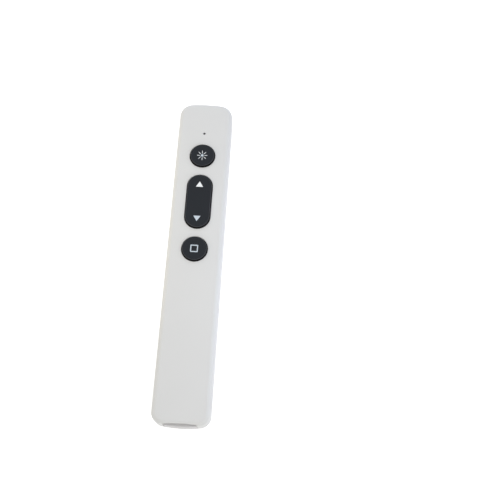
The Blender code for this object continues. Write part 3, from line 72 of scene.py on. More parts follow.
def shade(hexColour, factor):
    # The same colour with its channels scaled
    channels = [min(255, round(int(hexColour[i:i + 2], 16) * factor)) for i in (1, 3, 5)]
    return "#" + "".join(f"{c:02X}" for c in channels)


def addNode(tree, kind, settings=None, links=None):
    # Settings go to the node's own properties, or else to its inputs, and links join inputs to outputs
    node = tree.nodes.new(kind)
    for key, value in (settings or {}).items():
        if isinstance(key, str) and hasattr(node, key):
            setattr(node, key, value)
        else:
            node.inputs[key].default_value = value
    for key, output in (links or {}).items():
        tree.links.new(output, node.inputs[key])
    return node


def startMaterial(name, hexColour, roughness, ior=1.5, metallic=0.0, **more):
    # A Principled shader at typical values, with Object coordinates to build on
    material = bpy.data.materials.new(name)
    material.use_nodes = True
    tree = material.node_tree
    shader = tree.nodes["Principled BSDF"]
    shader.inputs["Base Color"].default_value = linear(hexColour)
    shader.inputs["Roughness"].default_value = roughness
    shader.inputs["Metallic"].default_value = metallic
    if metallic < 1:
        shader.inputs["IOR"].default_value = ior
    for key, value in more.items():
        shader.inputs[key.replace("_", " ")].default_value = value
    coords = addNode(tree, "ShaderNodeTexCoord").outputs["Object"]
    return material, tree, shader, coords


def grain(tree, coords, size, detail=2.0, stretch=(1, 1, 1)):
    # Noise whose grains are size metres across, stretched along an axis where its factor is above 1
    scaled = addNode(tree, "ShaderNodeMapping", {"Scale": [1 / s for s in stretch]}, {"Vector": coords})
    return addNode(
        tree,
        "ShaderNodeTexNoise",
        {"Scale": 1 / size, "Detail": detail, "Roughness": 0.5},
        {"Vector": scaled.outputs["Vector"]},
    ).outputs["Fac"]


def feed(tree, shader, **outputs):
    # Links each output to the shader's input of that name
    for key, output in outputs.items():
        tree.links.new(output, shader.inputs[key.replace("_", " ")])


def bumpFrom(tree, shader, height, depth, strength):
    # Height 0 to 1 stands for depth metres of relief
    bump = addNode(tree, "ShaderNodeBump", {"Strength": strength, "Distance": depth}, {"Height": height})
    feed(tree, shader, Normal=bump.outputs["Normal"])


def mixColours(tree, factor, dark, light):
    mix = addNode(tree, "ShaderNodeMix", {"data_type": "RGBA"}, {0: factor})
    mix.inputs["A"].default_value = linear(dark)
    mix.inputs["B"].default_value = linear(light)
    return mix.outputs["Result"]


def spread(tree, value, low, high):
    # Turns 0 to 1 into low to high
    return addNode(
        tree, "ShaderNodeMapRange", {"To Min": low, "To Max": high}, {"Value": value}
    ).outputs["Result"]


# Surfaces

def circlePath(radius, steps, centre=(0, 0)):
    # A path holds, at each of its points, an arc's centre, its radius and the angle of its normal
    angle = np.linspace(0, 2 * np.pi, steps, endpoint=False)
    one = np.ones(steps)
    return np.stack([centre[0] * one, centre[1] * one, radius * one, angle])


def stadiumPath(radius, halfSpacing, steps, runSteps, middleY):
    # Two half circles about centres halfSpacing ahead and behind, and two straight runs between them.
    # It starts at its front end, so that a ladder's rungs lie across it, for which steps is even.
    arcs = np.linspace(0, np.pi, steps + 1)
    run = np.linspace(1, -1, runSteps + 1)[1:-1]
    left, right = np.full(runSteps - 1, np.pi), np.full(runSteps - 1, 2 * np.pi)
    angle = np.concatenate([arcs, left, arcs + np.pi, right])
    ahead = np.concatenate([np.ones(steps + 1), run, -np.ones(steps + 1), -run]) * halfSpacing
    one = np.ones(angle.size)
    return np.roll(np.stack([0 * one, middleY + ahead, radius * one, angle]), -(steps // 2), axis=1)


def cornerPath(corners, radius, arcSteps=6, runSteps=2):
    # A convex outline: an arc round each corner, and a straight run to the next one.
    # It starts at its point straight to the right of the origin.
    corners = np.asarray(corners, float)
    edge = np.roll(corners, -1, axis=0) - corners
    facing = np.arctan2(-edge[:, 0], edge[:, 1])
    before = np.roll(facing, 1)
    turn = (facing - before) % (2 * np.pi)
    middle = before + turn / 2
    pull = radius / np.cos(turn / 2)
    centre = corners - pull[:, None] * np.stack([np.cos(middle), np.sin(middle)], -1)
    part = np.linspace(0, 1, arcSteps + 1)
    arcs = np.stack([
        np.repeat(centre[:, :1], part.size, 1),
        np.repeat(centre[:, 1:], part.size, 1),
        np.full((len(corners), part.size), radius),
        before[:, None] + turn[:, None] * part,
    ])
    along = np.linspace(0, 1, runSteps + 1)[1:-1]
    end = arcs[:, :, -1:]
    following = np.roll(arcs[:, :, :1], -1, axis=1)
    following[3] = end[3]
    runs = end + (following - end) * along
    path = np.concatenate([arcs, runs], axis=2).reshape(4, -1)
    x = path[0] + path[2] * np.cos(path[3])
    y = path[1] + path[2] * np.sin(path[3])
    return np.roll(path, -int(np.argmin(np.abs(np.arctan2(y, x)))), axis=1)


def blockPath(width, height, radius, arcSteps=6, runSteps=2):
    # A rectangle with rounded corners, about the origin
    w, h = width / 2, height / 2
    return cornerPath([(w, h), (-w, h), (-w, -h), (w, -h)], radius, arcSteps, runSteps)


def shifted(path, x, y):
    return path + np.array([[x], [y], [0], [0]])


def carry(path, profile):
    # Point (v, u) = centre(u) + (radius(u) - inset(v)) * (cos, sin)(angle(u)), at height(v).
    # The profile runs up the outer side, so that its faces point outwards.
    profile = np.asarray(profile, float)
    reach = path[2] - profile[:, :1]
    x = path[0] + reach * np.cos(path[3])
    y = path[1] + reach * np.sin(path[3])
    return np.stack([x, y, np.broadcast_to(profile[:, 1:], x.shape)], -1)


def softened(corners, steps=5, closed=False):
    # A profile from corner points (inset, height, radius): a corner with a radius r becomes an arc that is
    # tangent to both its lines, about a centre r / sin(half the angle between them) along their bisector
    spots = np.array([c[:2] for c in corners], float)
    profile = []
    for i, corner in enumerate(corners):
        radius = corner[2] if len(corner) > 2 else 0
        inside = closed or 0 < i < len(corners) - 1
        if not radius or not inside:
            profile.append(spots[i][None])
            continue
        back = spots[i - 1] - spots[i]
        ahead = spots[(i + 1) % len(corners)] - spots[i]
        back, ahead = back / np.linalg.norm(back), ahead / np.linalg.norm(ahead)
        half = math.acos(np.clip(back @ ahead, -1, 1)) / 2
        centre = spots[i] + (back + ahead) / np.linalg.norm(back + ahead) * radius / math.sin(half)
        first = spots[i] + back * radius / math.tan(half) - centre
        last = spots[i] + ahead * radius / math.tan(half) - centre
        sweep = math.pi - 2 * half
        t = np.linspace(0, 1, steps + 1)[:, None]
        arc = (np.sin((1 - t) * sweep) * first + np.sin(t * sweep) * last) / math.sin(sweep)
        profile.append(centre + arc)
    return np.concatenate(profile)


def putMesh(name, points, faceGroups):
    # faceGroups is a list of index arrays, one row to a face
    mesh = bpy.data.meshes.new(name)
    points = np.asarray(points, np.float32).reshape(-1, 3)
    loops = np.concatenate([g.ravel() for g in faceGroups]).astype(np.int32)
    sizes = np.concatenate([np.full(len(g), g.shape[1]) for g in faceGroups]).astype(np.int32)
    starts = np.concatenate([[0], np.cumsum(sizes)[:-1]]).astype(np.int32)
    mesh.vertices.add(len(points))
    mesh.vertices.foreach_set("co", points.ravel())
    mesh.loops.add(len(loops))
    mesh.loops.foreach_set("vertex_index", loops)
    mesh.polygons.add(len(sizes))
    mesh.polygons.foreach_set("loop_start", starts)
    mesh.polygons.foreach_set("loop_total", sizes)
    mesh.update(calc_edges=True)
    mesh.validate()
    return mesh


def gridFaces(rows, columns, first=0, closed=False):
    # Quads between neighbouring rows, which wrap round; closed joins the last row to the first
    index = first + np.arange(rows * columns).reshape(rows, columns)
    if closed:
        index = np.vstack([index, index[:1]])
    low, high = index[:-1], index[1:]
    quads = np.stack([low, np.roll(low, -1, 1), np.roll(high, -1, 1), high], -1)
    return quads.reshape(-1, 4)


def ladderFaces(ring):
    # Closes a ring that mirrors itself across its first point, with a rung between each mirrored pair
    n = len(ring)
    k = np.arange(1, n // 2 - 1)
    quads = np.stack([ring[k], ring[k + 1], ring[n - k - 1], ring[n - k]], -1)
    ends = np.array([[ring[0], ring[1], ring[-1]], [ring[n // 2 - 1], ring[n // 2], ring[n // 2 + 1]]])
    return quads, ends


def newObject(name, mesh, material=None):
    obj = bpy.data.objects.new(name, mesh)
    bpy.context.scene.collection.objects.link(obj)
    if material:
        mesh.materials.append(material)
    return obj


def addSolid(name, rows, material=None, closed=False, ladder=False):
    # A closed body: rows joined by quads, and both end rows closed flat or, where they are bowed, by rungs
    count, columns = rows.shape[:2]
    groups = [gridFaces(count, columns, closed=closed)]
    bottom = np.arange(columns)
    top = (count - 1) * columns + bottom
    if ladder:
        topQuads, topEnds = ladderFaces(top)
        bottomQuads, bottomEnds = ladderFaces(bottom)
        groups += [topQuads, topEnds, bottomQuads[:, ::-1], bottomEnds[:, ::-1]]
    elif not closed:
        groups += [bottom[::-1][None], top[None]]
    return newObject(name, putMesh(name, rows, groups), material)


def turnTo(xAxis, yAxis, zAxis):
    # Gives a function that lays local points out along three axes, from a place
    axes = np.array([xAxis, yAxis, zAxis], float)
    return lambda points, place: points @ axes + np.asarray(place, float)


faceUp = turnTo((1, 0, 0), (0, 1, 0), (0, 0, 1))
faceNose = turnTo((-1, 0, 0), (0, 0, 1), (0, 1, 0))     # local z becomes +Y
faceTail = turnTo((1, 0, 0), (0, 0, 1), (0, -1, 0))     # local z becomes -Y
faceLeft = turnTo((0, -1, 0), (0, 0, 1), (-1, 0, 0))    # local z becomes -X


def slabObject(name, path, low, high, edge, face=faceUp, at=(0, 0, 0), material=None):
    # A block or disc between two levels along local z, with both its edges rounded
    rows = carry(path, softened([(2 * edge, low), (0, low, edge), (0, high, edge), (2 * edge, high)], 4))
    return addSolid(name, face(rows, at), material)


def carve(obj, cutters, additions=()):
    # Joins the additions, takes the cutters away, and applies both
    for other, operation in [(a, "UNION") for a in additions] + [(c, "DIFFERENCE") for c in cutters]:
        boolean = obj.modifiers.new(operation.lower(), "BOOLEAN")
        boolean.object = other
        boolean.operation = operation
        boolean.solver = "MANIFOLD"
    bpy.context.view_layer.update()
    graph = bpy.context.evaluated_depsgraph_get()
    mesh = bpy.data.meshes.new_from_object(obj.evaluated_get(graph))
    old = obj.data
    obj.modifiers.clear()
    obj.data = mesh
    bpy.data.meshes.remove(old)
    for other in (*additions, *cutters):
        bpy.data.objects.remove(other)


def shadeRound(obj, degrees):
    # Smooth faces with creases past the angle, and normals that lean to the larger faces
    obj.data.shade_smooth()
    obj.data.set_sharp_from_angle(angle=math.radians(degrees))
    weighted = obj.modifiers.new("weighted", "WEIGHTED_NORMAL")
    weighted.keep_sharp = True
    weighted.weight = 80


def finish(obj, body, slot, *nodes, crease=32):
    # A crease of 0 degrees leaves every face flat
    if crease:
        shadeRound(obj, crease)
    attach(obj, body)
    if nodes:
        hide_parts(*nodes)


def measured(corners):
    # A box's lowest and highest corners, its middle and its size
    low, high = (np.array(c) for c in corners)
    return low, high, (low + high) / 2, high - low


# Materials

def texturedAbs(name, hexColour, roughness=0.46):
    # Injection-moulded ABS from a spark-eroded mould: matte, with a fine even grain that softens highlights
    material, tree, shader, coords = startMaterial(name, hexColour, roughness, 1.53, Specular_IOR_Level=0.45)
    fine = grain(tree, coords, 0.35 * mm, 2)    # real grain is about 0.05 mm; drawn coarser so that it shows
    cloud = grain(tree, coords, 22 * mm, 1)
    bumpFrom(tree, shader, fine, 0.006 * mm, 0.5)
    feed(tree, shader, Roughness=spread(tree, fine, roughness - 0.05, roughness + 0.06),
         Base_Color=mixColours(tree, cloud, shade(hexColour, 0.975), hexColour))
    return material


def softTouchCoat(name, hexColour, rimHighlightHex, bareSideAndShadeHex):
    # Soft-touch lacquer on black ABS with nearly no gloss. A paler line along the rim, picked out by how far
    # the normal tilts, is a painted highlight, and the black down the sides is bare black plastic and also
    # painted shade on the key's walls
    material, tree, shader, coords = startMaterial(
        name, hexColour, 0.6, 1.48, Sheen_Weight=0.05, Sheen_Roughness=0.4, Specular_IOR_Level=0.15
    )
    dust = grain(tree, coords, 0.30 * mm, 3)    # lacquer grain is finer still; drawn coarser so that it shows
    bumpFrom(tree, shader, dust, 0.004 * mm, 0.4)
    facing = addNode(tree, "ShaderNodeTexCoord").outputs["Normal"]
    upward = addNode(tree, "ShaderNodeSeparateXYZ", {}, {"Vector": facing}).outputs["Z"]
    ramp = addNode(tree, "ShaderNodeValToRGB", {}, {"Fac": upward})
    stops = ramp.color_ramp.elements
    # By the normal's upward part: black up to 0.72 as bare plastic and painted shade, a paler painted
    # highlight peaking at 0.90 on the rim, and the lacquer's own colour on top
    stops[0].position, stops[0].color = 0.45, linear(bareSideAndShadeHex)
    stops[1].position, stops[1].color = 0.99, linear(hexColour)
    for position, colour in ((0.72, bareSideAndShadeHex), (0.90, rimHighlightHex)):
        stops.new(position).color = linear(colour)
    dusty = addNode(tree, "ShaderNodeMix", {"data_type": "RGBA", "blend_type": "MULTIPLY", 0: 1.0},
                    {"A": ramp.outputs["Color"], "B": mixColours(tree, dust, "#E8E8E8", "#FFFFFF")})
    feed(tree, shader, Base_Color=dusty.outputs["Result"], Roughness=spread(tree, dust, 0.55, 0.68))
    return material


def turnedBrass(name):
    # Free-cutting brass, turned: fine rings round its axis, warm and fairly bright
    material, tree, shader, coords = startMaterial(name, "#C79A4B", 0.24, metallic=1.0)
    rings = addNode(
        tree, "ShaderNodeTexWave", {"bands_direction": "Y", "Scale": 1 / (0.35 * mm) / 20, "Distortion": 0.3},
        {"Vector": coords},
    ).outputs["Fac"]
    bumpFrom(tree, shader, rings, 0.004 * mm, 0.3)
    feed(tree, shader, Roughness=spread(tree, rings, 0.2, 0.32))
    return material


def solderMask(name):
    # Glass-fibre laminate under green solder mask: satin, with the weave and copper showing faintly
    material, tree, shader, coords = startMaterial(name, "#1E6B3A", 0.35, 1.55)
    weave = addNode(
        tree, "ShaderNodeTexChecker", {"Scale": 1 / (0.5 * mm)}, {"Vector": coords}
    ).outputs["Fac"]    # half-millimetre glass weave
    copper = addNode(
        tree, "ShaderNodeTexVoronoi", {"Scale": 1 / (2.2 * mm), "feature": "DISTANCE_TO_EDGE"},
        {"Vector": coords},
    ).outputs["Distance"]
    traces = addNode(
        tree, "ShaderNodeMath", {"operation": "LESS_THAN", 1: 0.06}, {0: copper}
    ).outputs["Value"]
    base = mixColours(tree, weave, "#1B6236", "#1F6D3C")
    mix = addNode(tree, "ShaderNodeMix", {"data_type": "RGBA"}, {0: traces, "A": base})
    mix.inputs["B"].default_value = linear("#2F8750")
    feed(tree, shader, Base_Color=mix.outputs["Result"])
    bumpFrom(tree, shader, traces, 0.03 * mm, 0.5)
    return material


def grained(name, hexColour, roughness, grainMm, depthMm, ior=1.5, metallic=0.0, detail=2, stretch=(1, 1, 1),
            strength=0.4, swing=(-0.05, 0.07), tones=(0.93, 1.04), **more):
    # One grain gives the surface its relief, and takes its roughness and its colour from one end to the other
    material, tree, shader, coords = startMaterial(name, hexColour, roughness, ior, metallic, **more)
    fine = grain(tree, coords, grainMm * mm, detail, stretch)
    if depthMm:
        bumpFrom(tree, shader, fine, depthMm * mm, strength)
    if swing:
        feed(tree, shader, Roughness=spread(tree, fine, *(roughness + change for change in swing)))
    if tones:
        feed(tree, shader, Base_Color=mixColours(tree, fine, *(shade(hexColour, tone) for tone in tones)))
    return material


shellWhite = texturedAbs("textured_abs_white", "#DBDBDA")
capGrey = texturedAbs("textured_abs_cap", "#C9C7C8", 0.42)
# The lacquer's top colour, then a painted highlight for the rim, then black for the sides as bare plastic and
# painted shade
keyCoat = softTouchCoat("soft_touch_lacquer", "#26292E", "#606064", "#08090B")

# Silver-white two-part ink, pad printed: smooth, a little gloss, slightly uneven cover
printed = {"swing": None, "tones": (0.95, 1)}
whiteInk = grained("white_pad_print", "#F6F8FA", 0.34, 0.5, 0, **printed)
silverInk = grained("silver_pad_print", "#C8D2DC", 0.34, 0.5, 0, **printed)

# Nickel-plated sheet steel, drawn through a die: lines 0.12 mm apart, long along the sheet
drawn = {"metallic": 1.0, "strength": 0.35, "swing": (-0.06, 0.1), "tones": None}
portPlate = grained("nickel_plate_port", "#C9C7C1", 0.26, 0.12, 0.003, stretch=(12, 1, 1), **drawn)
plugPlate = grained("nickel_plate_plug", "#CFCDC8", 0.22, 0.12, 0.003, stretch=(1, 12, 1), **drawn)

# Gold flash over nickel on stamped contacts: smooth, with faint rolling lines
rolled = {"metallic": 1.0, "detail": 1, "stretch": (1, 10, 1), "swing": (-0.04, 0.1), "tones": None}
gold = grained("gold_flash", "#D9AE57", 0.2, 0.1, 0, **rolled)

# Polished transparent plastic with faint swirl: acrylic window and lens, polycarbonate pin
clear = {"strength": 0.2, "swing": (0, 0.05), "tones": None, "Transmission_Weight": 0.9}
windowAcrylic = grained("smoked_acrylic", "#6E6468", 0.06, 1.5, 0.002, 1.49, **clear)
lensAcrylic = grained("clear_acrylic_lens", "#F2F6F8", 0.03, 1.5, 0.002, 1.49, **clear)
pipePc = grained("smoked_polycarbonate", "#101012", 0.2, 1.5, 0.002, 1.58, **clear)

# Aluminium-laminate pouch: dull foil under nylon film, with soft creases
creased = {"metallic": 0.85, "detail": 3, "strength": 0.35, "swing": (-0.06, 0.08), "tones": None}
pouch = grained("pouch_foil", "#B7B9BB", 0.34, 4, 0.08, **creased)

# Plain moulded, cast or rolled parts
brass = turnedBrass("turned_brass")
boardGreen = solderMask("green_solder_mask")
silicone = grained("translucent_silicone", "#B9BABD", 0.5, 0.8, 0.01, 1.41, Subsurface_Weight=0.2)
moldCompound = grained("black_mould_compound", "#1E1E1F", 0.55, 0.25, 0.008, 1.55)
tonguePlastic = grained("black_lcp", "#17181A", 0.42, 0.3, 0.006, 1.58)
blackPlastic = grained("black_pom", "#232426", 0.45, 0.3, 0.006, 1.48)
nylon = grained("cream_nylon", "#DAD3BC", 0.48, 0.4, 0.01, 1.53)
redPvc = grained("red_pvc", "#A31514", 0.38, 0.6, 0.006, 1.53)
blackPvc = grained("black_pvc", "#141415", 0.4, 0.6, 0.006, 1.53)
foam = grained("black_pe_foam", "#232323", 0.9, 0.5, 0.08)
ledEpoxy = grained("yellow_led_epoxy", "#E3D897", 0.3, 0.5, 0.004, 1.54)
canSteel = grained("plated_can", "#C4C4C2", 0.25, 0.4, 0.004, metallic=1.0)
screwSteel = grained("zinc_plated_steel", "#B8BCC0", 0.3, 0.2, 0.006, metallic=1.0)
print("materials made")


# Housing

cover = inMm(
    noseCorner=6.1,
    noseBow=80,        # radius of the nose's slight bow
    tailCorner=4.9,
    tailBow=56,
    topEdge=2.2,
    bottomEdge=2.4,
    wall=1.5,
    lapStep=0.75,
    lapHeight=0.8,
    lapGap=0.12,
    rimRound=0.14,     # the soft edge at the parting line
    flatInset=4.6,     # where the flat top and the floor begin
) | {"cornerSteps": 28, "endSteps": 14, "edgeSteps": 10}
shellLow, (side, nose, bodyTop), _, _ = measured(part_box("upper_shell"))
tail = shellLow[1]
parting = bodyTop / 2
roof = bodyTop - cover["wall"]


def tailBow(x):
    # How far the bowed tail has fallen back at x, on a circle of its radius
    r = cover["tailBow"]
    return r - np.sqrt(r * r - np.asarray(x) ** 2)


def endPath(cornerRadius, bowRadius):
    # One end, from side to side: a bow, and a corner arc tangent to it and to the straight side, mirrored
    cornerX = side - cornerRadius
    bowY = nose - bowRadius
    cornerY = bowY + math.sqrt((bowRadius - cornerRadius) ** 2 - cornerX ** 2)
    meet = math.atan2(cornerY - bowY, cornerX)
    corner = np.linspace(0, meet, cover["cornerSteps"] + 1)
    bow = np.linspace(meet, quarter, cover["endSteps"] + 1)[1:]
    one, flat = np.ones(corner.size), np.ones(bow.size)
    half = np.concatenate([
        np.stack([cornerX * one, cornerY * one, cornerRadius * one, corner]),
        np.stack([0 * flat, bowY * flat, bowRadius * flat, bow]),
    ], axis=1)
    other = half[:, -2::-1] * np.array([[-1], [1], [1], [-1]]) + np.array([[0], [0], [0], [np.pi]])
    return np.concatenate([half, other], axis=1)


def coverPath():
    # The nose's end, and the tail's turned half round
    front = endPath(cover["noseCorner"], cover["noseBow"])
    back = endPath(cover["tailCorner"], cover["tailBow"])
    back = back * np.array([[-1], [-1], [1], [1]]) + np.array([[0], [0], [0], [np.pi]])
    return np.concatenate([front, back], axis=1)


def upperProfile():
    # From the roof out and down the inside, over the rebate and the rim, then up the outside to the flat top
    c = cover
    step = parting + c["lapHeight"]
    return softened([
        (c["flatInset"], roof),
        (c["wall"], roof, c["topEdge"] - c["wall"]),
        (c["wall"], step),
        (c["lapStep"], step),
        (c["lapStep"], parting),
        (0, parting, c["rimRound"]),
        (0, bodyTop, c["topEdge"]),
        (c["flatInset"], bodyTop),
    ], c["edgeSteps"])


def lowerProfile():
    # From the underside out and up to the rim, over the lip, and down the inside to the floor
    c = cover
    lip = parting + c["lapHeight"] - c["lapGap"]
    leg = c["lapStep"] + c["lapGap"]
    return softened([
        (c["flatInset"], 0),
        (0, 0, c["bottomEdge"]),
        (0, parting, c["rimRound"]),
        (leg, parting),
        (leg, lip),
        (c["wall"], lip),
        (c["wall"], c["wall"], c["bottomEdge"] - c["wall"]),
        (c["flatInset"], c["wall"]),
    ], c["edgeSteps"])


opening = inMm(
    flare=0.15,        # round edge of the larger openings
    keyGap=0.40,
    pinholeRadius=0.60,
    pinholeFlare=0.08,
    laserRadius=2.25,
    over=1.0,          # how far a cutter stands clear of what it cuts
    through=3.0,       # a depth that is well past a wall
) | {"keySteps": 72, "pinholeSteps": 32, "laserSteps": 64}


def flaredCutter(name, path, surface, depth, flare, face=faceUp, at=(0, 0, 0), ladder=False):
    # A plug whose top widens by a quarter round of the flare's radius, so that it leaves a rounded edge
    over = opening["over"]
    rows = carry(path, softened([
        (0, surface - depth),
        (0, surface, flare),
        (-over, surface),
        (-over, surface + over),
    ], 5))
    return addSolid(name, face(rows, at), ladder=ladder)


key = inMm(
    radius=5.62,
    pageHalfLength=13.15,
    edge=0.38,         # round edge of the key's top
    skirt=1.2,
    skirtRound=0.2,
    flange=0.7,
    flangeThickness=0.6,
    flangeRound=0.1,
    flangeGap=0.3,     # under the roof
    stemRadius=1.4,
    stemRound=0.15,
    roundDish=0.20,    # how far the middle of a round key lies below its edge
    pageDip=0.26,      # how far the long key's waist lies below its ends
) | {
    "steps": 96,
    "stemSteps": 32,
    "runSteps": 24,    # along each straight side of the long key
    "rings": 12,       # from the round edge to the last ring
    "lastRing": 0.96,  # how far in that ring lies, as a share of the radius
}
laserY, pageY, screenY, ledY = (
    measured(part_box(node))[2][1] for node in ("laser_button", "page_key", "screen_button", "light_pipe")
)
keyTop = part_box("laser_button")[1][2]
pageSpacing = key["pageHalfLength"] - key["radius"]

_, _, (_, _, capLevel), (capWidth, _, capHeight) = measured(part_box("receiver_cap"))
capMiddle = np.array([0, tail, capLevel])
plugLow, plugHigh, plugMiddle, plugSize = measured(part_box("receiver_plug"))
socketLow, _, socketMiddle, socketSize = measured(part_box("charge_socket"))
portMiddle = np.array([-side, *socketMiddle[1:]])
knobLow, _, knobMiddle, knobSize = measured(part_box("power_knob"))
leverSize = measured(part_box("power_switch_lever"))[3]
knobTravel = next(j for j in frame["joints"] if j["name"] == "power_slide")["range_m"][1]


def keyCutters():
    depth, flare, steps = opening["through"], opening["flare"], opening["keySteps"]
    radius = key["radius"] + opening["keyGap"]
    page = stadiumPath(radius, pageSpacing, steps // 2, 2, pageY)
    pinhole = circlePath(opening["pinholeRadius"], opening["pinholeSteps"], (0, ledY))
    return [
        flaredCutter("laser_hole_cutter", circlePath(radius, steps, (0, laserY)), bodyTop, depth, flare),
        flaredCutter("screen_hole_cutter", circlePath(radius, steps, (0, screenY)), bodyTop, depth, flare),
        flaredCutter("page_hole_cutter", page, bodyTop, depth, flare),
        flaredCutter("pinhole_cutter", pinhole, bodyTop, depth, opening["pinholeFlare"]),
    ]


receiverBay = inMm(
    gap=0.16,
    lean=0.1,          # how far the opening lies left of the cap, whose left gap is the wider one
    flare=0.1,
    corner=1.1,
    notchDepth=1.22,   # nail notch in the top cover's edge, over the whole cap
    notchCorner=0.6,
    notchFlare=0.05,
    notchBow=86.0,     # its back edge bows the other way, toward the nose
    depth=5.5,         # as deep as the cap
    wall=1.2,
    sideGap=0.3,
    start=1.9,         # from the tail to the walls
    wallCorner=0.4,
    roomCorner=0.3,
    railWidth=1.0,
    railCorner=0.2,
    railSpacing=7.0,
    railGap=0.3,       # from the plug to each rail
) | {
    "runSteps": 24,    # along each side of the bay, the notch and the cap, which all bow
    "wallEnd": 0.6,    # how deep in the floor and the roof the walls start, as a share of the cover's wall
}
port = inMm(
    gap=0.25,
    holeCorner=0.5,
    mouthCorner=0.35,
    chamfer=0.7,
    skin=0.3,
    edge=0.1,
    backRound=0.05,
    tongueCorner=0.1,
    tongueEdge=0.08,
    contactPitch=0.65,
    contactWidth=0.3,
    contactStart=0.35,
    contactLift=0.03,  # over the tongue's face, and as much under it
    contactCorner=0.05,
    contactEdge=0.04,
) | {
    "contacts": 5,
    "contactShare": 0.75,    # of the tongue's length
}
knob = inMm(
    recessDepth=0.8,
    recessFlare=0.15,
    slotCorner=0.2,
    slotFlare=0.05,
    gap=0.12,
    corner=0.6,
    thickness=0.55,
    groovePitch=0.8,
    grooveWidth=0.42,
    grooveLength=2.2,
    grooveDepth=0.2,
    grooveRound=0.12,
    grooveFlare=0.06,
    grooveOver=0.2,    # how far the grooves' cutters stand clear of the knob
    edge=0.12,
    neckLength=2.4,
    neckHeight=1.4,
    neckCorner=0.15,
    neckStart=0.3,     # behind the knob's face
    neckEnd=0.1,       # before the plate's back
    plateThickness=0.5,
    plateLength=5.4,
    plateHeight=2.8,
    plateCorner=0.3,
    plateEdge=0.05,
    leverCorner=0.08,
) | {"grooves": 4}


def faceBowedTail(points, place):
    # Facing the tail, every point then slides in by the tail's bow at its own x
    bent = faceTail(points, place)
    bent[..., 1] += tailBow(bent[..., 0])
    return bent


def sideCutters():
    # The openings in the ends and the left side, which both halves share
    b, k = receiverBay, knob
    flare, through = opening["flare"], opening["through"]
    bay = blockPath(capWidth + 2 * b["gap"], capHeight + 2 * b["gap"], b["corner"], 8, b["runSteps"])
    bayMiddle = capMiddle - np.array([b["lean"], 0, 0])
    laser = circlePath(opening["laserRadius"], opening["laserSteps"])
    socket = blockPath(*(socketSize[1:] + 2 * port["gap"]), port["holeCorner"])
    recessMiddle = (-side, knobMiddle[1] + knobTravel / 2, knobMiddle[2])
    room = np.array([knobTravel, 0]) + 2 * k["gap"]
    recess = blockPath(*(knobSize[1:] + room), k["corner"] + k["gap"])
    slot = blockPath(*(np.array([k["neckLength"], k["neckHeight"]]) + room), k["slotCorner"])
    slotStart = -k["recessDepth"] / 2
    return [
        flaredCutter("bay_cutter", bay, 0, b["depth"], b["flare"], faceBowedTail, bayMiddle, True),
        flaredCutter("laser_cutter", laser, 0, through, flare, faceNose, (0, nose, parting)),
        flaredCutter("port_cutter", socket, 0, through, flare, faceLeft, portMiddle),
        flaredCutter("knob_cutter", recess, 0, k["recessDepth"], k["recessFlare"], faceLeft, recessMiddle),
        flaredCutter("neck_cutter", slot, slotStart, through, k["slotFlare"], faceLeft, recessMiddle),
    ]


def notchBowed(points, place):
    # Every point slides out by x squared / (2 * radius), so that the notch bows toward the nose
    bent = faceUp(points, place)
    bent[..., 1] -= bent[..., 0] ** 2 / (2 * receiverBay["notchBow"])
    return bent


def notchCutter():
    # A block that bites into the tail's edge and lays the cap's top bare
    b = receiverBay
    width = capWidth + 2 * b["gap"] + b["notchCorner"] / 2
    path = blockPath(width, 2 * b["notchDepth"], b["notchCorner"], 6, b["runSteps"])
    depth = bodyTop - (capLevel + capHeight / 2)
    return flaredCutter("notch_cutter", shifted(path, -b["lean"], tail), bodyTop, depth, b["notchFlare"],
                        notchBowed)


def makeHousing():
    for name, profile, node, extra in (
        ("top_cover", upperProfile(), "upper_shell", [*keyCutters(), notchCutter()]),
        ("bottom_cover", lowerProfile(), "lower_shell", []),
    ):
        half = addSolid(name, carry(coverPath(), profile), shellWhite)
        carve(half, extra + sideCutters())
        finish(half, "housing", "white_plastic", node)
        print(name, "made:", len(half.data.polygons), "faces")


makeHousing()


# Keys

fulcrum = inMm(
    stemSpacing=17.0,
    stemLift=0.4,      # the stems end this far above the bar
    width=6.0,
    thickness=1.2,
    corner=0.2,
)


def roundKeyDrop(x, y):
    # How far a round key's top lies below its rim: a shallow dish, depth * (1 - (r / R) squared)
    return key["roundDish"] * np.clip(1 - (x * x + y * y) / key["radius"] ** 2, 0, 1)


def pageKeyDrop(x, y):
    # The long key dips at its waist: depth * cos squared along its length
    return key["pageDip"] * np.cos(np.clip(y / key["pageHalfLength"], -1, 1) * quarter) ** 2


def keyRows(path, drop, middleY, flange):
    # From inside the skirt, round the flange, up the side and over the top to the middle, sunk by its dish
    ceiling = keyTop - key["skirt"]
    flangeTop = roof - key["flangeGap"]
    skirtBottom = flangeTop - key["flangeThickness"]
    rings = np.linspace(key["edge"] * 2, key["radius"] * key["lastRing"], key["rings"])
    corners = [
        (key["radius"] * 0.5, ceiling),
        (key["skirt"], ceiling, key["skirtRound"]),
        (key["skirt"], skirtBottom),
    ]
    if flange:
        corners += [(-flange, skirtBottom), (-flange, flangeTop, key["flangeRound"]), (0, flangeTop)]
    else:
        corners += [(0, skirtBottom)]
    corners += [(0, keyTop, key["edge"]), (rings[0], keyTop)]
    crown = np.stack([rings[1:], np.full(rings.size - 1, keyTop)], -1)
    rows = carry(path, np.concatenate([softened(corners, 8), crown]))
    onTop = rows[..., 2] > ceiling + key["edge"]
    lift = np.clip((rows[..., 2] - ceiling) / key["skirt"], 0, 1)
    rows[..., 2] -= np.where(onTop, drop(rows[..., 0], rows[..., 1] - middleY) * lift, 0)
    return rows


def keyStems(name, places, bottom):
    # Round stems from inside the key's top down to the domes of the mat
    radius, top = key["stemRadius"], keyTop - key["skirt"] / 2
    profile = softened([(radius * 0.5, bottom), (0, bottom, key["stemRound"]), (0, top)])
    return [
        addSolid(name + str(index), carry(circlePath(radius, key["stemSteps"], spot), profile))
        for index, spot in enumerate(places)
    ]


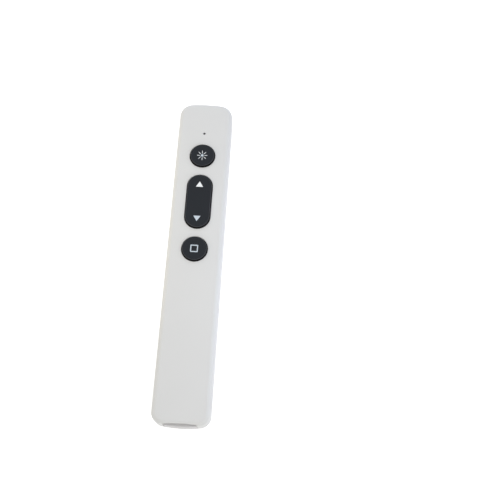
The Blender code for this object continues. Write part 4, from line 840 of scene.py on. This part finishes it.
def makeKeys():
    for name, node, y in (("laser_key", "laser_button", laserY), ("screen_key", "screen_button", screenY)):
        rows = keyRows(circlePath(key["radius"], key["steps"], (0, y)), roundKeyDrop, y, key["flange"])
        piece = addSolid(name, rows, keyCoat, ladder=True)
        carve(piece, [], keyStems(name + "_stem", [(0, y)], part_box(node)[0][2]))
        finish(piece, node, "soft_touch_key", node)
    f = fulcrum
    path = stadiumPath(key["radius"], pageSpacing, key["steps"] // 2, key["runSteps"], pageY)
    piece = addSolid("page_rocker", keyRows(path, pageKeyDrop, pageY, 0), keyCoat, ladder=True)
    bottom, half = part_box("page_key")[0][2], f["stemSpacing"] / 2
    stems = keyStems("page_stem", [(0, pageY - half), (0, pageY + half)], bottom + f["stemLift"])
    bar = carry(shifted(blockPath(f["width"], f["thickness"], f["corner"]), 0, pageY), softened([
        (f["corner"] / 2, bottom), (0, bottom), (0, keyTop - key["skirt"] / 2),
    ]))
    carve(piece, [], [*stems, addSolid("fulcrum_bar", bar)])
    finish(piece, "page_key", "soft_touch_key", "page_key")
    print("keys made")


makeKeys()


# Marks on the keys

mark = inMm(
    proud=0.025,
    sunk=0.12,
    rayStart=1.0,
    rayEnd=2.45,
    rayWidth=0.25,
    dotRadius=0.64,
    burstShift=(-0.06, -0.12),    # every print lies a little askew on its key
    arrowShift=-0.09,
    squareShift=(-0.12, -0.07),
    triangleWidth=3.35,
    triangleHeight=2.65,
    triangleCorner=0.12,
    upMiddle=8.28,     # ahead of the long key's middle
    downMiddle=8.87,   # behind it
    square=3.5,
    stroke=0.49,
    corner=0.22,
) | {
    "crease": 40,      # degrees
    "rays": 8,
    "dotSteps": 32,
    "burstTurn": 1.5,  # degrees
}


def layMark(name, flatRings, drop, middleY, body, groups, ink):
    # Lifts flat outlines (x, y) onto the key's dished top: the lower ring sunk in it, the upper one proud
    x, y = flatRings[..., 0], flatRings[..., 1]
    top = keyTop - drop(x, y)
    level = np.where(flatRings[..., 2] > 0.5, top + mark["proud"], top - mark["sunk"])
    points = np.stack([x, y + middleY, level], -1)
    finish(newObject(name, putMesh(name, points, groups), ink), body, "key_mark", crease=mark["crease"])


def slab(path):
    # An outline twice over, as the lower (0) and the upper (1) ring of a mark
    return carry(path, [(0, 0), (0, 1)])


def slabGroups(columns, first=0):
    # The faces of such a mark: its side, its underside and its top
    ring = first + np.arange(columns)
    return [gridFaces(2, columns, first), ring[::-1][None], (ring + columns)[None]]


def makeBurst():
    # Eight rays, each turned by its share of a circle. Half a ray's width is sin(pi * s) to the 0.22, where s
    # goes from 0.08 to 0.95 along it.
    m = mark
    t = np.linspace(0, 1, 13)
    along = m["rayStart"] + (m["rayEnd"] - m["rayStart"]) * t
    half = m["rayWidth"] / 2 * np.maximum(np.sin(np.pi * (0.08 + 0.87 * t)), 0) ** 0.22
    leaf = np.stack([np.concatenate([along, along[::-1]]), np.concatenate([-half, half[::-1]])], -1)
    turn = math.radians(m["burstTurn"]) + np.arange(m["rays"]) * 2 * np.pi / m["rays"]
    x = leaf[:, 0] * np.cos(turn)[:, None] - leaf[:, 1] * np.sin(turn)[:, None]
    y = leaf[:, 0] * np.sin(turn)[:, None] + leaf[:, 1] * np.cos(turn)[:, None]
    flat = np.stack([x, y], -1) + m["burstShift"]
    rays = np.stack([
        np.concatenate([flat, np.full((*flat.shape[:2], 1), level)], -1) for level in (0, 1)
    ], 1)
    size = leaf.shape[0]
    groups = [g for ray in range(m["rays"]) for g in slabGroups(size, ray * 2 * size)]
    layMark("laser_rays", rays.reshape(-1, 3), roundKeyDrop, laserY, "laser_button", groups, whiteInk)
    steps = m["dotSteps"]
    dot = slab(circlePath(m["dotRadius"], steps, m["burstShift"]))
    layMark("laser_dot", dot, roundKeyDrop, laserY, "laser_button", slabGroups(steps), silverInk)


def makeArrow(name, middle, way, ink):
    w, h = mark["triangleWidth"] / 2, mark["triangleHeight"] / 2
    rows = slab(cornerPath([(w, -h), (0, h), (-w, -h)], mark["triangleCorner"], 4, 6))
    rows[..., :2] *= way
    rows[..., :2] += (mark["arrowShift"], middle)
    layMark(name, rows, pageKeyDrop, pageY, "page_key", slabGroups(rows.shape[1]), ink)


def makeSquare():
    path = blockPath(mark["square"], mark["square"], mark["corner"], 5, 4)
    rows = carry(path, [(0, 0), (0, 1), (mark["stroke"], 1), (mark["stroke"], 0)])
    rows[..., :2] += mark["squareShift"]
    groups = [gridFaces(4, rows.shape[1], closed=True)]
    layMark("screen_mark", rows, roundKeyDrop, screenY, "screen_button", groups, silverInk)


makeBurst()
makeArrow("page_up_mark", mark["upMiddle"], 1, whiteInk)
makeArrow("page_down_mark", -mark["downMiddle"], -1, silverInk)
makeSquare()
print("marks made")


# Receiver

cap = inMm(corner=1.25, edge=0.35, innerEdge=0.25, length=5.5)
plug = inMm(
    corner=0.5,
    skin=0.3,
    leadIn=0.35,
    leadRound=0.3,
    lipRound=0.08,
    mouthRound=0.05,
    seatDepth=1.3,
    seatGap=0.1,
    window=2.2,
    windowCorner=0.2,
    windowSpacing=5.2,
    windowFromMouth=5.2,
    seamWidth=0.1,
    seamDepth=0.14,
)
tongue = inMm(
    corner=0.12,
    edge=0.05,
    base=0.3,          # how far in its flat ends start
    tip=0.5,
    tipRound=0.25,
    contactCorner=0.3,
    contactEdge=0.06,
)


def makeReceiverCap():
    # The bow of the tail fades out towards the cap's flat inner face
    c = cap
    path = blockPath(capWidth, capHeight, c["corner"], 8, receiverBay["runSteps"])
    rows = carry(path, softened([
        (2 * c["innerEdge"], -c["length"]),
        (0, -c["length"], c["innerEdge"]),
        (0, 0, c["edge"]),
        (2 * c["edge"], 0),
    ], 6))
    fade = 1 + rows[..., 2] / c["length"]
    placed = faceTail(rows, capMiddle)
    placed[..., 1] += tailBow(rows[..., 0]) * fade
    piece = addSolid("receiver_head", placed, capGrey, ladder=True)
    seatSize = plugSize + 2 * plug["seatGap"]
    seatPath = blockPath(seatSize[0], seatSize[2], plug["corner"] + plug["seatGap"])
    seat = slabObject("seat_cutter", seatPath, -opening["over"], plug["seatDepth"], 2 * crisp, faceTail,
                      (0, tail + c["length"], capLevel))
    carve(piece, [seat])
    finish(piece, "receiver", "cap_plastic", "receiver_cap")


def makePlug():
    # A drawn tube with a rolled lip, two latch windows above and two below, and the seam of its fold below
    p = plug
    width, length, height = plugSize
    rows = carry(blockPath(width, height, p["corner"], 6, 4), softened([
        (0, 0),
        (0, length - p["leadIn"], p["leadRound"]),
        (p["skin"] * 0.4, length, p["lipRound"]),
        (p["skin"], length, p["mouthRound"]),
        (p["skin"], 0),
    ], 4, closed=True))
    piece = addSolid("plug_shell", faceNose(rows, (0, plugLow[1], plugMiddle[2])), plugPlate, closed=True)
    cutters = []
    for x in (-p["windowSpacing"] / 2, p["windowSpacing"] / 2):
        path = blockPath(p["window"], p["window"], p["windowCorner"], 4)
        at = (x, plugHigh[1] - p["windowFromMouth"], plugMiddle[2])
        cutters.append(slabObject("window_cutter", path, -height, height, crisp, faceUp, at))
    path = blockPath(p["seamWidth"], length * 2, 2 * crisp, 2)
    at = (0, plugMiddle[1], plugLow[2])
    cutters.append(slabObject("seam_cutter", path, -opening["over"], p["seamDepth"], crisp, faceUp, at))
    carve(piece, cutters)
    finish(piece, "receiver", "plated_steel", "receiver_plug")


def makeTongue():
    # The insulator, chamfered where the socket's springs ride up, and its four contacts
    t = tongue
    low, _, middle, size = measured(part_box("receiver_tongue"))
    rows = carry(blockPath(size[0], size[2], t["corner"]), softened([
        (t["base"], 0), (0, 0, t["edge"]), (0, size[1], t["tipRound"]), (t["tip"], size[1]),
    ], 4))
    piece = addSolid("plug_tongue", faceNose(rows, (0, low[1], middle[2])), tonguePlastic)
    finish(piece, "receiver", "black_plastic", "receiver_tongue")
    for number in "1234":
        node = "receiver_contact_" + number
        low, high, middle, size = measured(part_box(node))
        path = blockPath(size[0], size[1], t["contactCorner"])
        strip = slabObject("plug_contact_" + number, path, low[2], high[2], t["contactEdge"], faceUp,
                           (middle[0], middle[1], 0), gold)
        finish(strip, "receiver", "gold_plating", node)


def makeBay():
    # The pocket's wall from floor to roof, wide round the cap and close round the plug, and four plug rails
    b = receiverBay
    floor, ceiling = cover["wall"] * b["wallEnd"], bodyTop - cover["wall"] * b["wallEnd"]
    gap, rail = b["sideGap"], b["railSpacing"] / 2
    capRoom = capWidth / 2 + gap
    capBack, back = tail + cap["length"] + gap, plugHigh[1] + gap

    def room(name, halfWidth, start, end, low, high, corner, x=0.0):
        path = blockPath(2 * halfWidth, end - start, corner)
        return slabObject(name, shifted(path, x, (start + end) / 2), low, high, crisp)

    piece = room("receiver_bay", capRoom + b["wall"], tail + b["start"], back + b["wall"], floor, ceiling,
                 b["wallCorner"])
    piece.data.materials.append(shellWhite)
    carve(piece, [
        room("cap_room", capRoom, tail, capBack, 0, bodyTop, b["roomCorner"]),
        room("plug_room", plugHigh[0] + gap, tail, back, 0, bodyTop, b["roomCorner"]),
    ])
    carve(piece, [], [
        room("rail", b["railWidth"] / 2, capBack, back + b["wall"] / 2, low, high, b["railCorner"], x)
        for x in (-rail, rail)
        for low, high in ((floor, plugLow[2] - b["railGap"]), (plugHigh[2] + b["railGap"], ceiling))
    ])
    finish(piece, "housing", "white_plastic")


makeReceiverCap()
makePlug()
makeTongue()
makeBay()
print("receiver made")


# Laser, light pipe, port and switch knob

optics = inMm(
    windowGap=0.15,
    windowEdge=0.15,
    flangeDepth=0.7,
    flangeRound=0.05,
    barrelEdge=0.15,
    mouthRound=0.1,
    grooveStart=1.6,
    groovePitch=1.0,
    grooveWidth=0.4,
    grooveDepth=0.15,
    grooveSlope=0.1,
    grooveRound=0.05,
    barrelSeat=3.0,
    seatGap=0.1,       # round the lens and the diode
    diodeSeat=1.1,
    bore=1.7,
    lensBulge=0.4,
) | {"grooves": 3, "barrelSteps": 72}
pin = inMm(
    radius=0.84,
    flange=0.6,
    flangeGap=0.2,     # under the roof
    tipGap=0.03,
    tipSunk=0.25,
    tipRound=0.14,
)


def turned(name, outline, face, at, material, steps=64):
    # A round solid about local z from (radius, height, rounding) corners, its first and last rings closed
    profile = softened([(-c[0], *c[1:]) for c in outline], 5)
    return addSolid(name, face(carry(circlePath(0, steps), profile), at), material)


def makeLaser():
    o = optics
    low, (outer, _, _), _, (_, length, _) = measured(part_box("laser_window"))
    face = opening["laserRadius"] - o["windowGap"]
    window = turned("nose_window", [
        (outer, 0),
        (outer, o["flangeDepth"], o["flangeRound"]),
        (face, o["flangeDepth"]),
        (face, length, o["windowEdge"]),
        (face * 0.5, length),
    ], faceNose, (0, low[1], parting), windowAcrylic)
    finish(window, "housing", "clear_plastic", "laser_window")

    low, (r, _, _), _, (_, length, _) = measured(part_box("laser_housing"))
    lensLow, (lensRadius, _, _), _, (_, thick, _) = measured(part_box("laser_lens"))
    lensSeat = lensRadius + o["seatGap"]
    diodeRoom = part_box("laser_diode")[1][0] + o["seatGap"]
    neck = length - o["barrelSeat"]
    outline = [(lensSeat, neck), (lensSeat, length, o["mouthRound"]), (r, length, o["barrelEdge"])]
    inner, slope, soft = r - o["grooveDepth"], o["grooveSlope"], o["grooveRound"]
    for groove in range(o["grooves"]):
        top = length - o["grooveStart"] - o["groovePitch"] * groove
        bottom = top - o["grooveWidth"]
        outline += [(r, top, soft), (inner, top - slope), (inner, bottom + slope), (r, bottom, soft)]
    outline += [(r, 0, o["barrelEdge"]), (diodeRoom, 0), (diodeRoom, o["diodeSeat"]),
                (o["bore"], o["diodeSeat"]), (o["bore"], neck)]
    profile = softened([(-c[0], *c[1:]) for c in outline[::-1]], 4, closed=True)
    rows = faceNose(carry(circlePath(0, o["barrelSteps"]), profile), (0, low[1], parting))
    barrel = addSolid("laser_barrel", rows, brass, closed=True)
    finish(barrel, "housing", "brass", "laser_housing")

    # The lens bulges in front by depth * (1 - (r / R) squared)
    edge = thick - o["lensBulge"]
    bulge = [(lensRadius * s, thick - o["lensBulge"] * s * s) for s in np.linspace(0.98, 0.05, 14)]
    lens = turned("collimator_lens", [(lensRadius, 0), (lensRadius, edge), *bulge],
                  faceNose, (0, lensLow[1], parting), lensAcrylic)
    finish(lens, "housing", "clear_plastic", "laser_lens")


def makePipe():
    # The light pipe: a stepped pin whose domed tip stands in the pinhole
    low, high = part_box("light_pipe")
    tip = opening["pinholeRadius"] - pin["tipGap"]
    flangeTop = roof - pin["flangeGap"]
    flangeBottom = flangeTop - pin["flange"]
    tipTop = high[2] - pin["tipSunk"]
    pipe = turned("status_pin", [
        (pin["radius"], low[2]),
        (pin["radius"], flangeBottom),
        (high[0], flangeBottom),
        (high[0], flangeTop),
        (tip, flangeTop),
        (tip, tipTop, pin["tipRound"]),
        (tip * 0.4, tipTop),
    ], faceUp, (0, ledY, 0), pipePc, 32)
    finish(pipe, "housing", "light_pipe_plastic", "light_pipe")


def portPath():
    # The mouth: a rectangle whose two lower corners are cut off
    w, h = socketSize[1:] / 2
    c = port["chamfer"]
    corners = [(w, h), (-w, h), (-w, c - h), (c - w, -h), (w - c, -h), (w, c - h)]
    return cornerPath(corners, port["mouthCorner"], 5)


def makePort():
    p = port
    depth, skin, edge = socketSize[0], p["skin"], p["edge"]
    rows = carry(portPath(), softened([
        (edge, -depth), (0, -depth, p["backRound"]), (0, 0, edge), (skin, 0, edge),
        (skin, skin - depth), (skin + 2 * crisp, skin - depth),
    ], 4))
    shell = addSolid("port_shell", faceLeft(rows, (socketLow[0], *portMiddle[1:])), portPlate)
    finish(shell, "housing", "plated_steel", "charge_socket")
    low, _, middle, size = measured(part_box("charge_socket_tongue"))
    piece = slabObject("port_tongue", blockPath(size[1], size[2], p["tongueCorner"]), -size[0], 0,
                       p["tongueEdge"], faceLeft, (low[0], *middle[1:]), tonguePlastic)
    finish(piece, "housing", "black_plastic", "charge_socket_tongue")
    length, lift, inset = size[0] * p["contactShare"], p["contactLift"], p["contactEdge"]
    path = blockPath(p["contactWidth"], length, p["contactCorner"], 3)
    strip = carry(path, [(inset, -lift), (0, -lift), (0, lift), (inset, lift)])
    for number in range(p["contacts"]):
        y = middle[1] + (number - (p["contacts"] - 1) / 2) * p["contactPitch"]
        placed = np.stack([
            low[0] + p["contactStart"] + length / 2 + strip[..., 1],
            y - strip[..., 0],
            low[2] + strip[..., 2],
        ], -1)
        contact = addSolid("port_contact_" + str(number + 1), placed, gold)
        finish(contact, "housing", "gold_plating", crease=0)


def makeKnob():
    # A grooved plate in the recess, a neck through the wall, and a plate behind it that takes the lever
    k = knob
    at = (knobLow[0], *knobMiddle[1:])
    depth, length, height = knobSize
    piece = slabObject("switch_knob", blockPath(length, height, k["corner"]), -k["thickness"], 0, k["edge"],
                       faceLeft, at, blackPlastic)
    width, sunk, over = k["grooveWidth"], k["grooveDepth"], k["grooveOver"]
    profile = softened([
        (width * 0.4, -sunk), (0, -sunk, k["grooveRound"]), (0, 0, k["grooveFlare"]),
        (-over, 0), (-over, over),
    ], 4)
    grooves = []
    for number in range(k["grooves"]):
        y = (number - (k["grooves"] - 1) / 2) * k["groovePitch"]
        path = shifted(blockPath(width, k["grooveLength"], width * 0.48), y, 0)
        grooves.append(addSolid("groove_cutter", faceLeft(carry(path, profile), at)))
    neck = slabObject("knob_neck", blockPath(k["neckLength"], k["neckHeight"], k["neckCorner"]),
                      k["neckEnd"] - depth, -k["neckStart"], 2 * crisp, faceLeft, at)
    plate = slabObject("knob_plate", blockPath(k["plateLength"], k["plateHeight"], k["plateCorner"]), -depth,
                       k["plateThickness"] - depth, k["plateEdge"], faceLeft, at)
    lever = leverSize + 2 * k["gap"]
    socket = slabObject("lever_socket", blockPath(lever[1], lever[2], k["leverCorner"]), -2 * depth,
                        -k["thickness"], crisp, faceLeft, at)
    carve(piece, [*grooves, socket], [neck, plate])
    finish(piece, "power_slider", "black_plastic", "power_knob")


makeLaser()
makePipe()
makePort()
makeKnob()
print("laser, light pipe, port and knob made")


# Parts that keep their CAD shape

keptParts = [
    (silicone, "key_mat"),
    (boardGreen, "main_board", "laser_board", "battery_board"),
    (screwSteel, "board_screw_1", "board_screw_2", "board_screw_3", "board_screw_4"),
    (ledEpoxy, "status_led"),
    (moldCompound, "radio_chip", "charge_chip", "power_switch_case"),
    (canSteel, "crystal", "laser_diode"),
    (redPvc, "laser_lead_red", "battery_lead_red"),
    (blackPvc, "laser_lead_black", "battery_lead_black"),
    (pouch, "battery_cell"),
    (foam, "battery_pad"),
    (nylon, "battery_header", "battery_plug"),
    (blackPlastic, "power_switch_lever"),
]


def dressKeptParts():
    for material, *nodes in keptParts:
        for node in nodes:
            for slot in frame["nodes"][node].material_slots:
                slot.link = "OBJECT"
                slot.material = material


dressKeptParts()
print("kept parts dressed:", sum(len(row) - 1 for row in keptParts))


# Stage, camera and lights

stage = {
    "floorSize": 3.0,
    "floorDrop": 0.02 * mm,    # below the underside, so that the two faces don't meet
    "glow": 0.5,               # how much of the floor's white the camera sees whatever the light
    "cameraPlace": (0.031333, -0.113914, 0.329902),
    "pitchDown": 69.87,
    "turnLeft": 3.168,
    "lens": 54.364,
    "worldLevel": 0.7,
}


def seenRays(tree):
    # 1 for rays from the camera, a mirror or glass, and 0 for the rays that carry light
    rays = addNode(tree, "ShaderNodeLightPath").outputs
    seen = rays["Is Camera Ray"]
    for other in ("Is Glossy Ray", "Is Transmission Ray"):
        either = addNode(tree, "ShaderNodeMath", {"operation": "MAXIMUM"}, {0: seen, 1: rays[other]})
        seen = either.outputs["Value"]
    return seen


def makeFloor():
    # A matte white sheet: the camera, mirrors and glass see it near white, and it keeps the soft shadow
    half = stage["floorSize"] / 2
    mesh = putMesh("floor", [(-half, -half, 0), (half, -half, 0), (half, half, 0), (-half, half, 0)],
                   [np.array([[0, 1, 2, 3]])])
    material, tree, shader, _ = startMaterial("white_card", "#F4F4F4", 0.9)
    shader.inputs["Emission Color"].default_value = linear("#FFFFFF")
    feed(tree, shader, Emission_Strength=spread(tree, seenRays(tree), 0, stage["glow"]))
    floor = newObject("floor", mesh, material)
    floor.location.z = -stage["floorDrop"]


def makeWorld():
    # White for whatever the camera, mirrors and glass see of it, and a plain level for the light it gives
    world = bpy.data.worlds.new("studio")
    world.use_nodes = True
    tree = world.node_tree
    background = tree.nodes["Background"]
    background.inputs["Color"].default_value = linear("#FFFFFF")
    feed(tree, background, Strength=spread(tree, seenRays(tree), stage["worldLevel"], 1))
    bpy.context.scene.world = world


def addLamp(name, place, aim, size, power, hexColour):
    # A soft box at place that looks at aim
    data = bpy.data.lights.new(name, "AREA")
    data.shape = "RECTANGLE"
    data.size, data.size_y = size
    data.energy = power
    data.color = linear(hexColour)[:3]
    lamp = bpy.data.objects.new(name, data)
    lamp.visible_camera = False
    way = np.array(aim, float) - np.array(place, float)
    flat = math.hypot(way[0], way[1])
    lamp.location = place
    lamp.rotation_euler = (math.atan2(flat, -way[2]), 0, math.atan2(way[1], way[0]) - quarter)
    bpy.context.scene.collection.objects.link(lamp)


def makeCamera():
    data = bpy.data.cameras.new("camera")
    data.lens = stage["lens"]
    data.sensor_width = 36
    data.clip_start = 0.01
    camera = bpy.data.objects.new("camera", data)
    camera.location = stage["cameraPlace"]
    camera.rotation_euler = (quarter - math.radians(stage["pitchDown"]), 0, math.radians(stage["turnLeft"]))
    bpy.context.scene.collection.objects.link(camera)
    bpy.context.scene.camera = camera


makeFloor()
makeWorld()
addLamp("top_box", (-0.15, 0.14, 0.75), (0, 0, 0), (0.5, 0.8), 0.2, "#FFFFFF")
addLamp("left_strip", (-0.13, 0.03, 0.05), (0, 0.02, 0.006), (0.04, 0.36), 0.093, "#FFF1C6")
addLamp("right_strip", (0.13, -0.01, 0.06), (0, 0, 0.006), (0.05, 0.38), 0.13, "#DCE7FF")
addLamp("front_strip", (0.06, -0.30, 0.12), (0, -0.07, 0.006), (0.3, 0.08), 0.12, "#FFFDF1")
addLamp("nose_strip", (0.0, 0.30, 0.15), (0, 0.05, 0.006), (0.3, 0.08), 0.16, "#D8E7FF")
makeCamera()
bpy.context.scene.view_settings.view_transform = "Standard"
print("stage made")
